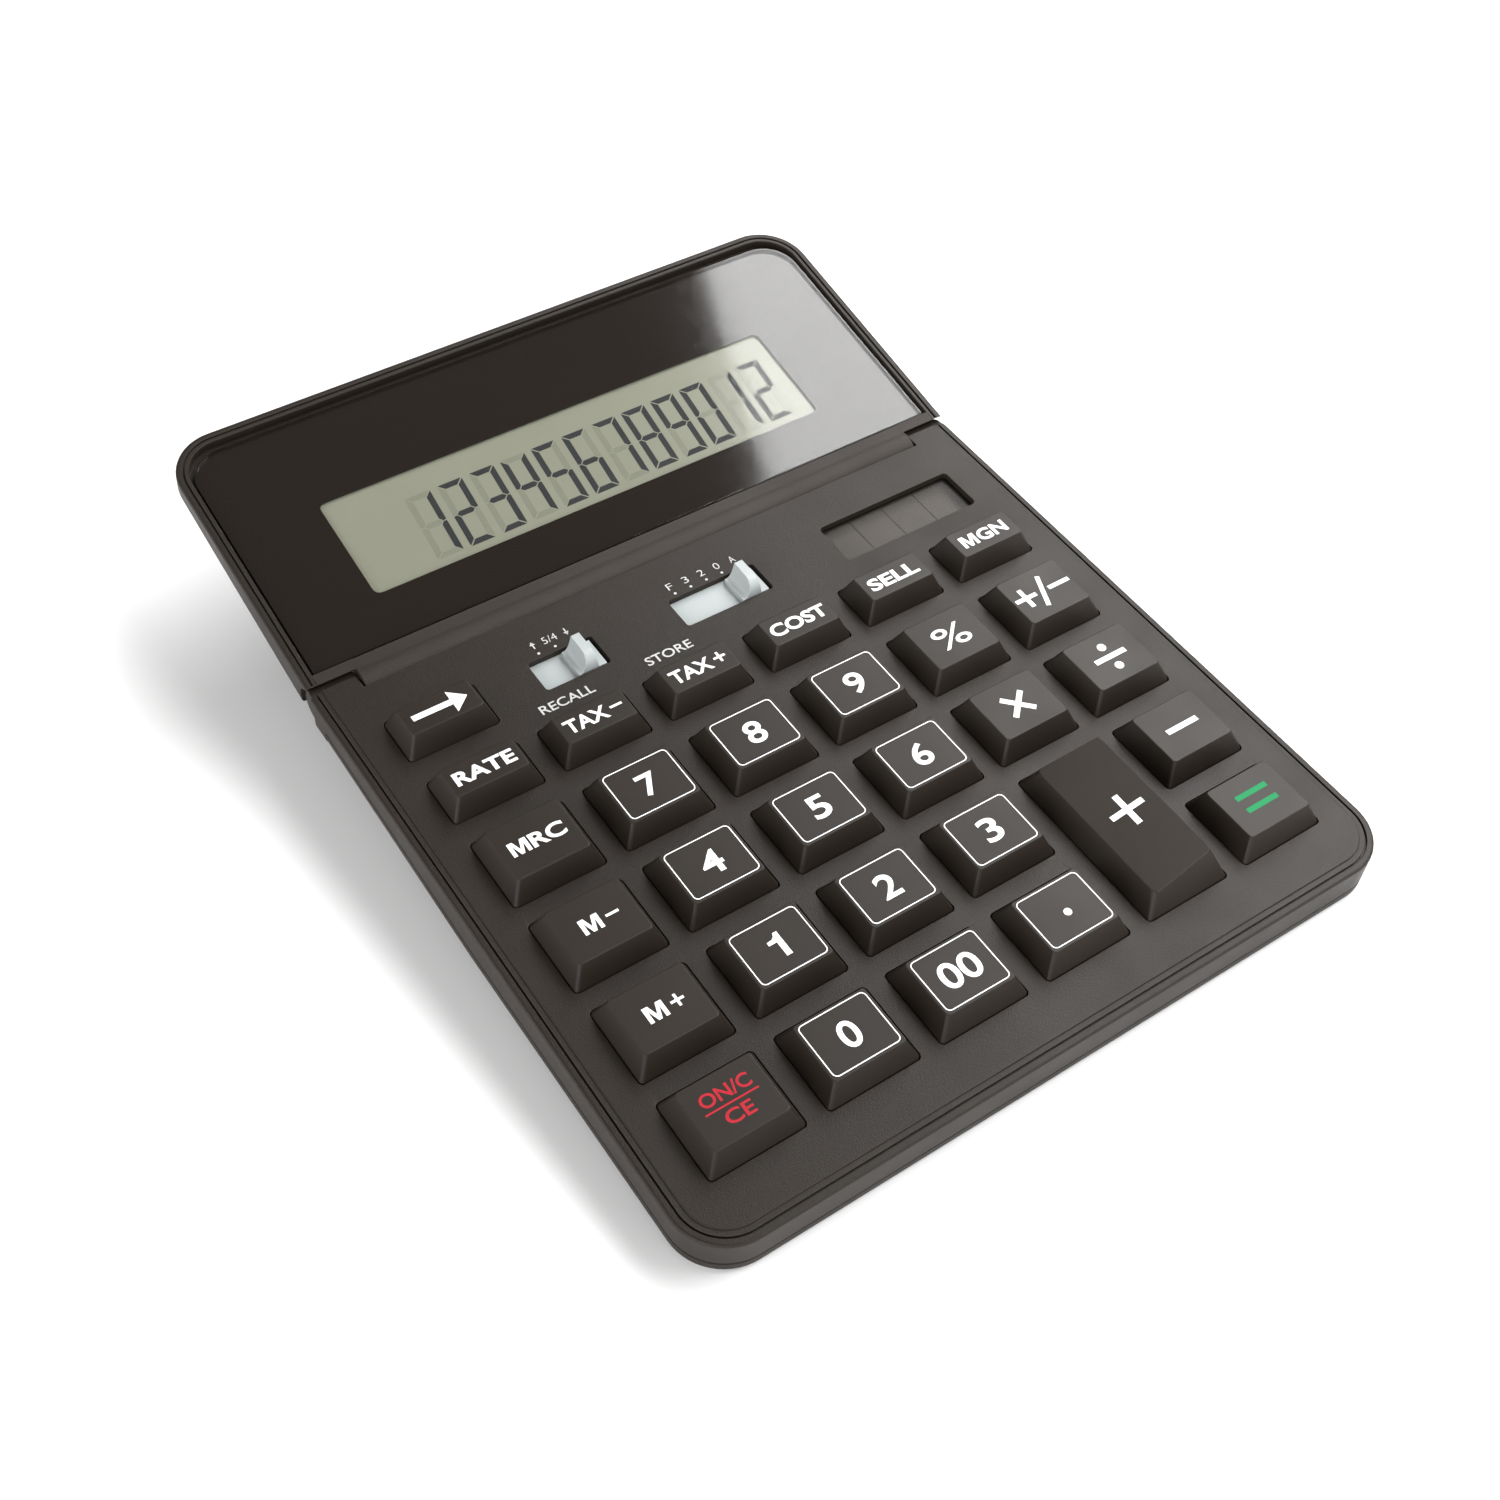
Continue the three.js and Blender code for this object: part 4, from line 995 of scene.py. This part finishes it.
def make_lens():
    """Clear acrylic over a dark back print that leaves a window over the LCD."""
    gap = 0.25                     # a wider shadow gap round the lens than the frame's own
    x0, y0, x1, y1 = lens_low.x + gap, lens_low.y + gap, lens_high.x - gap, lens_high.y - gap
    low, high = lens_low.z, lens_high.z

    def plan(inset, steps=14):
        front = [(x0 + inset, y0 + inset), (x1 - inset, y0 + inset)]
        radius = LENS_CORNER - inset
        rear_right = arc((x1 - LENS_CORNER, y1 - LENS_CORNER), radius, 0, 90, steps)
        rear_left = arc((x0 + LENS_CORNER, y1 - LENS_CORNER), radius, 90, 180, steps)
        return front + rear_right + rear_left

    clear = Solid()
    rows = [clear.row(level(plan(e), z)) for e, z in (
        (0.2, low + 0.35), (0.0, low + 0.4), (0.0, high - 0.2), (0.06, high - 0.06), (0.2, high),
    )]
    clear.loft(rows)
    clear.build("lens_cover", HEAD, lens_clear, DISPLAY, "lens", ["display_lens"])
    # the lens's side walls are dark below the rounded edge, which keeps the gap round the lens dark
    side = Solid()
    walls = [side.row(level(plan(e), z)) for e, z in (
        (0.16, low + 0.26), (0.16, high - 0.3), (0.02, high - 0.3), (0.02, low + 0.26),
    )]
    side.skin(walls + walls[:1])
    side.build("lens_side_dark_skin", HEAD, lens_print, DISPLAY, "lens")
    back = Solid()
    loops = []
    for z in (low, low + 0.25):
        rows = [back.row(level(plan(0.1), z)), back.row(level(rounded(*WINDOW, 1.5, 8), z))]
        back.fill(rows)
        loops.append(rows)
    back.bridge(loops[0][0], loops[1][0])
    back.bridge(loops[0][1], loops[1][1])
    back.build("lens_back_print", HEAD, lens_print, DISPLAY, "lens")


SEGMENTS = {
    "1": "bc", "2": "abged", "3": "abgcd", "4": "fgbc", "5": "afgcd", "6": "afgedc", "7": "abc",
    "8": "abcdefg", "9": "abcdfg", "0": "abcdef",
}
DIGIT_LOW, DIGIT_HIGH = 18.0, 34.2
DIGIT_WIDTH, STROKE, JOINT_GAP = 5.6, 1.3, 0.2
DIGIT_SLANT = math.tan(math.radians(3.7))
FIRST_RIGHT, LAST_RIGHT = -31.2, 48.0      # right edge of the first and last digit's top


def segment(letter):
    """Mitred outline of one segment, in a box of DIGIT_WIDTH by the digit height."""
    w, h = DIGIT_WIDTH, DIGIT_HIGH - DIGIT_LOW
    t, g, m = STROKE, JOINT_GAP, (DIGIT_HIGH - DIGIT_LOW) / 2
    top = [(g, h), (w - g, h), (w - t - g, h - t), (t + g, h - t)]
    side = [(w, h - g), (w, m + g), (w - t / 2, m + g * 0.4), (w - t, m + t / 2 + g), (w - t, h - t - g)]
    bar = [
        (t / 2 + g, m), (t + g, m + t / 2), (w - t - g, m + t / 2),
        (w - t / 2 - g, m), (w - t - g, m - t / 2), (t + g, m - t / 2),
    ]
    mirror = {"a": top, "d": [(x, h - y) for x, y in top], "b": side, "g": bar}
    mirror["c"] = [(x, h - y) for x, y in side]
    mirror["f"] = [(w - x, y) for x, y in side]
    mirror["e"] = [(w - x, h - y) for x, y in side]
    return mirror[letter]


def make_lcd():
    """The panel, its dark segments, and the faint ones that are off."""
    low, high = local_box("lcd_panel", HEAD)
    panel = Solid()
    panel.slab(low, high, 0.2, [(0, low.z), (0, high.z - 0.1), (0.1, high.z)])
    panel.build("lcd_glass", HEAD, lcd_glass, DISPLAY, "lcd", ["lcd_panel"])
    shown = Print(lambda x, y: high.z)
    ghost = Print(lambda x, y: high.z)
    number = "123456789012"
    pitch = (LAST_RIGHT - FIRST_RIGHT) / (len(number) - 1)
    for i, digit in enumerate(number):
        right = FIRST_RIGHT + pitch * i
        for letter in "abcdefg":
            points = []
            for x, y in segment(letter):
                lean = (y - (DIGIT_HIGH - DIGIT_LOW)) * DIGIT_SLANT
                points.append((right - DIGIT_WIDTH + x + lean, DIGIT_LOW + y))
            (shown if letter in SEGMENTS[digit] else ghost).outline(points)
    shown.build("lcd_digits", HEAD, lcd_segment, DISPLAY, "lcd", sharp=30)
    ghost.build("lcd_ghosts", HEAD, lcd_ghost, DISPLAY, "lcd", sharp=30)


# -------- carried-over CAD nodes
CARRIED = {
    "bottom_case": under_plastic, "head_rear_cover": under_plastic, "battery_door": under_plastic,
    "keypad_mat": silicone, "main_board": board, "display_board": board, "switch_block": inner_plastic,
    "coin_cell": steel, "battery_contact_top": steel, "battery_contact_side": steel,
    "display_ribbon": ribbon, "hinge_pin_left": steel, "hinge_pin_right": steel,
    "zebra_connector": zebra,
    **{f"rubber_foot_{i}": rubber for i in range(1, 5)}, **{f"case_screw_{i}": steel for i in range(1, 5)},
}


def dress_carried():
    """The other CAD nodes stay as they are, with materials of their own."""
    for name, material in CARRIED.items():
        node = frame["nodes"][name]
        node.data.materials.clear()
        node.data.materials.append(material)


# -------- stage, light and camera
SURROUND = 0.24                   # light of the surroundings


def make_floor():
    """A plain pale floor."""
    mesh = bpy.data.meshes.new("floor")
    size = 12.0
    corners = [(-size, -size, 0), (size, -size, 0), (size, size, 0), (-size, size, 0)]
    mesh.from_pydata(corners, [], [(0, 1, 2, 3)])
    floor = placed("floor", mesh)
    shader = Shader("floor_paper", 0.9, specular=0.1)
    shader.mottle(3, 2, (0.90, 0.90, 0.90), (0.92, 0.92, 0.92))
    # far off, where the lamps no longer reach, the paper glows up to the white of the surroundings
    far = shader.node("ShaderNodeVectorMath", {0: shader.place}, operation="LENGTH").outputs["Value"]
    glow = shader.ranged(far, 0.0, 1.0, 1.1, 1.8)
    shader.feed(shader.principled, {"Emission Color": (1, 1, 1), "Emission Strength": glow})
    mesh.materials.append(shader.material)


def make_surroundings():
    """Faint light from all sides; seen straight, past the floor's end, it is white."""
    world = bpy.data.worlds.new("studio")
    bpy.context.scene.world = world
    world.use_nodes = True
    nodes, links = world.node_tree.nodes, world.node_tree.links
    background = nodes["Background"]
    background.inputs["Color"].default_value = (1, 0.995, 0.985, 1)
    seen = nodes.new("ShaderNodeMapRange")
    seen.inputs["To Min"].default_value = SURROUND
    seen.inputs["To Max"].default_value = 1.0
    links.new(nodes.new("ShaderNodeLightPath").outputs["Is Camera Ray"], seen.inputs["Value"])
    links.new(seen.outputs["Result"], background.inputs["Strength"])


def softbox(name, corner, along, across, radiance):
    """A rectangular lamp from one corner and its two edges, shining towards the origin's side."""
    corner, along, across = Vector(corner), Vector(along), Vector(across)
    light = bpy.data.lights.new(name, "AREA")
    light.shape = "RECTANGLE"
    light.size, light.size_y = along.length, across.length
    light.energy = radiance * math.pi * light.size * light.size_y
    lamp = placed(name, light)
    middle = corner + along / 2 + across / 2
    x = along.normalized()
    z = x.cross(across).normalized()
    if z.dot(middle) < 0:
        z = -z
    turn = Matrix((x, z.cross(x), z)).transposed().to_4x4()
    lamp.matrix_world = Matrix.Translation(middle) @ turn
    lamp.visible_camera = False


def make_lights():
    # its left edge is what the lens mirrors as the soft border between dark and bright
    softbox("softbox", (0.240, -0.56, 0.84), (0.398, 1.54, 0.0), (0.62, -0.160, 0.0), 9.8)
    # strip for the upright edges of the keys, and two pale walls
    softbox("strip", (-1.60, -0.82, 0.05), (0.36, -0.47, 0.0), (0.0, 0.0, 0.95), 6.0)
    softbox("front_wall", (-1.2, -1.9, 0.0), (3.6, 0.0, 0.0), (0.0, -0.1, 1.6), 2.2)
    softbox("left_wall", (-1.9, 2.2, 0.0), (0.0, -3.6, 0.0), (-0.1, 0.0, 1.6), 2.7)


def make_camera():
    """Place and turn as solved from the corners of the key openings in the photo."""
    data = bpy.data.cameras.new("camera")
    data.lens, data.sensor_width = 45.97, 36
    data.clip_start, data.clip_end = 0.01, 50
    camera = placed("camera", data)
    place = (-0.14757, -0.21781, 0.27021)
    right = Vector((0.82706, -0.56211, 0))
    forward = Vector((0.38624, 0.56865, -0.72626)).normalized()
    turn = Matrix((right, right.cross(forward), -forward)).transposed().to_4x4()
    camera.matrix_world = Matrix.Translation(place) @ turn
    bpy.context.scene.camera = camera
    bpy.context.scene.view_settings.view_transform = "Standard"


# -------- the calculator
for key in keys:
    make_key(key)
    make_legend(key)
make_top_case()
make_knuckles()
make_slider("rounding", 3.5)
make_slider("decimal", 3.55)
make_deck_print()
make_solar()
make_head_frame()
make_lens_seat()
make_hinge_barrel()
make_lens()
make_lcd()
dress_carried()
make_floor()
make_surroundings()
make_lights()
make_camera()
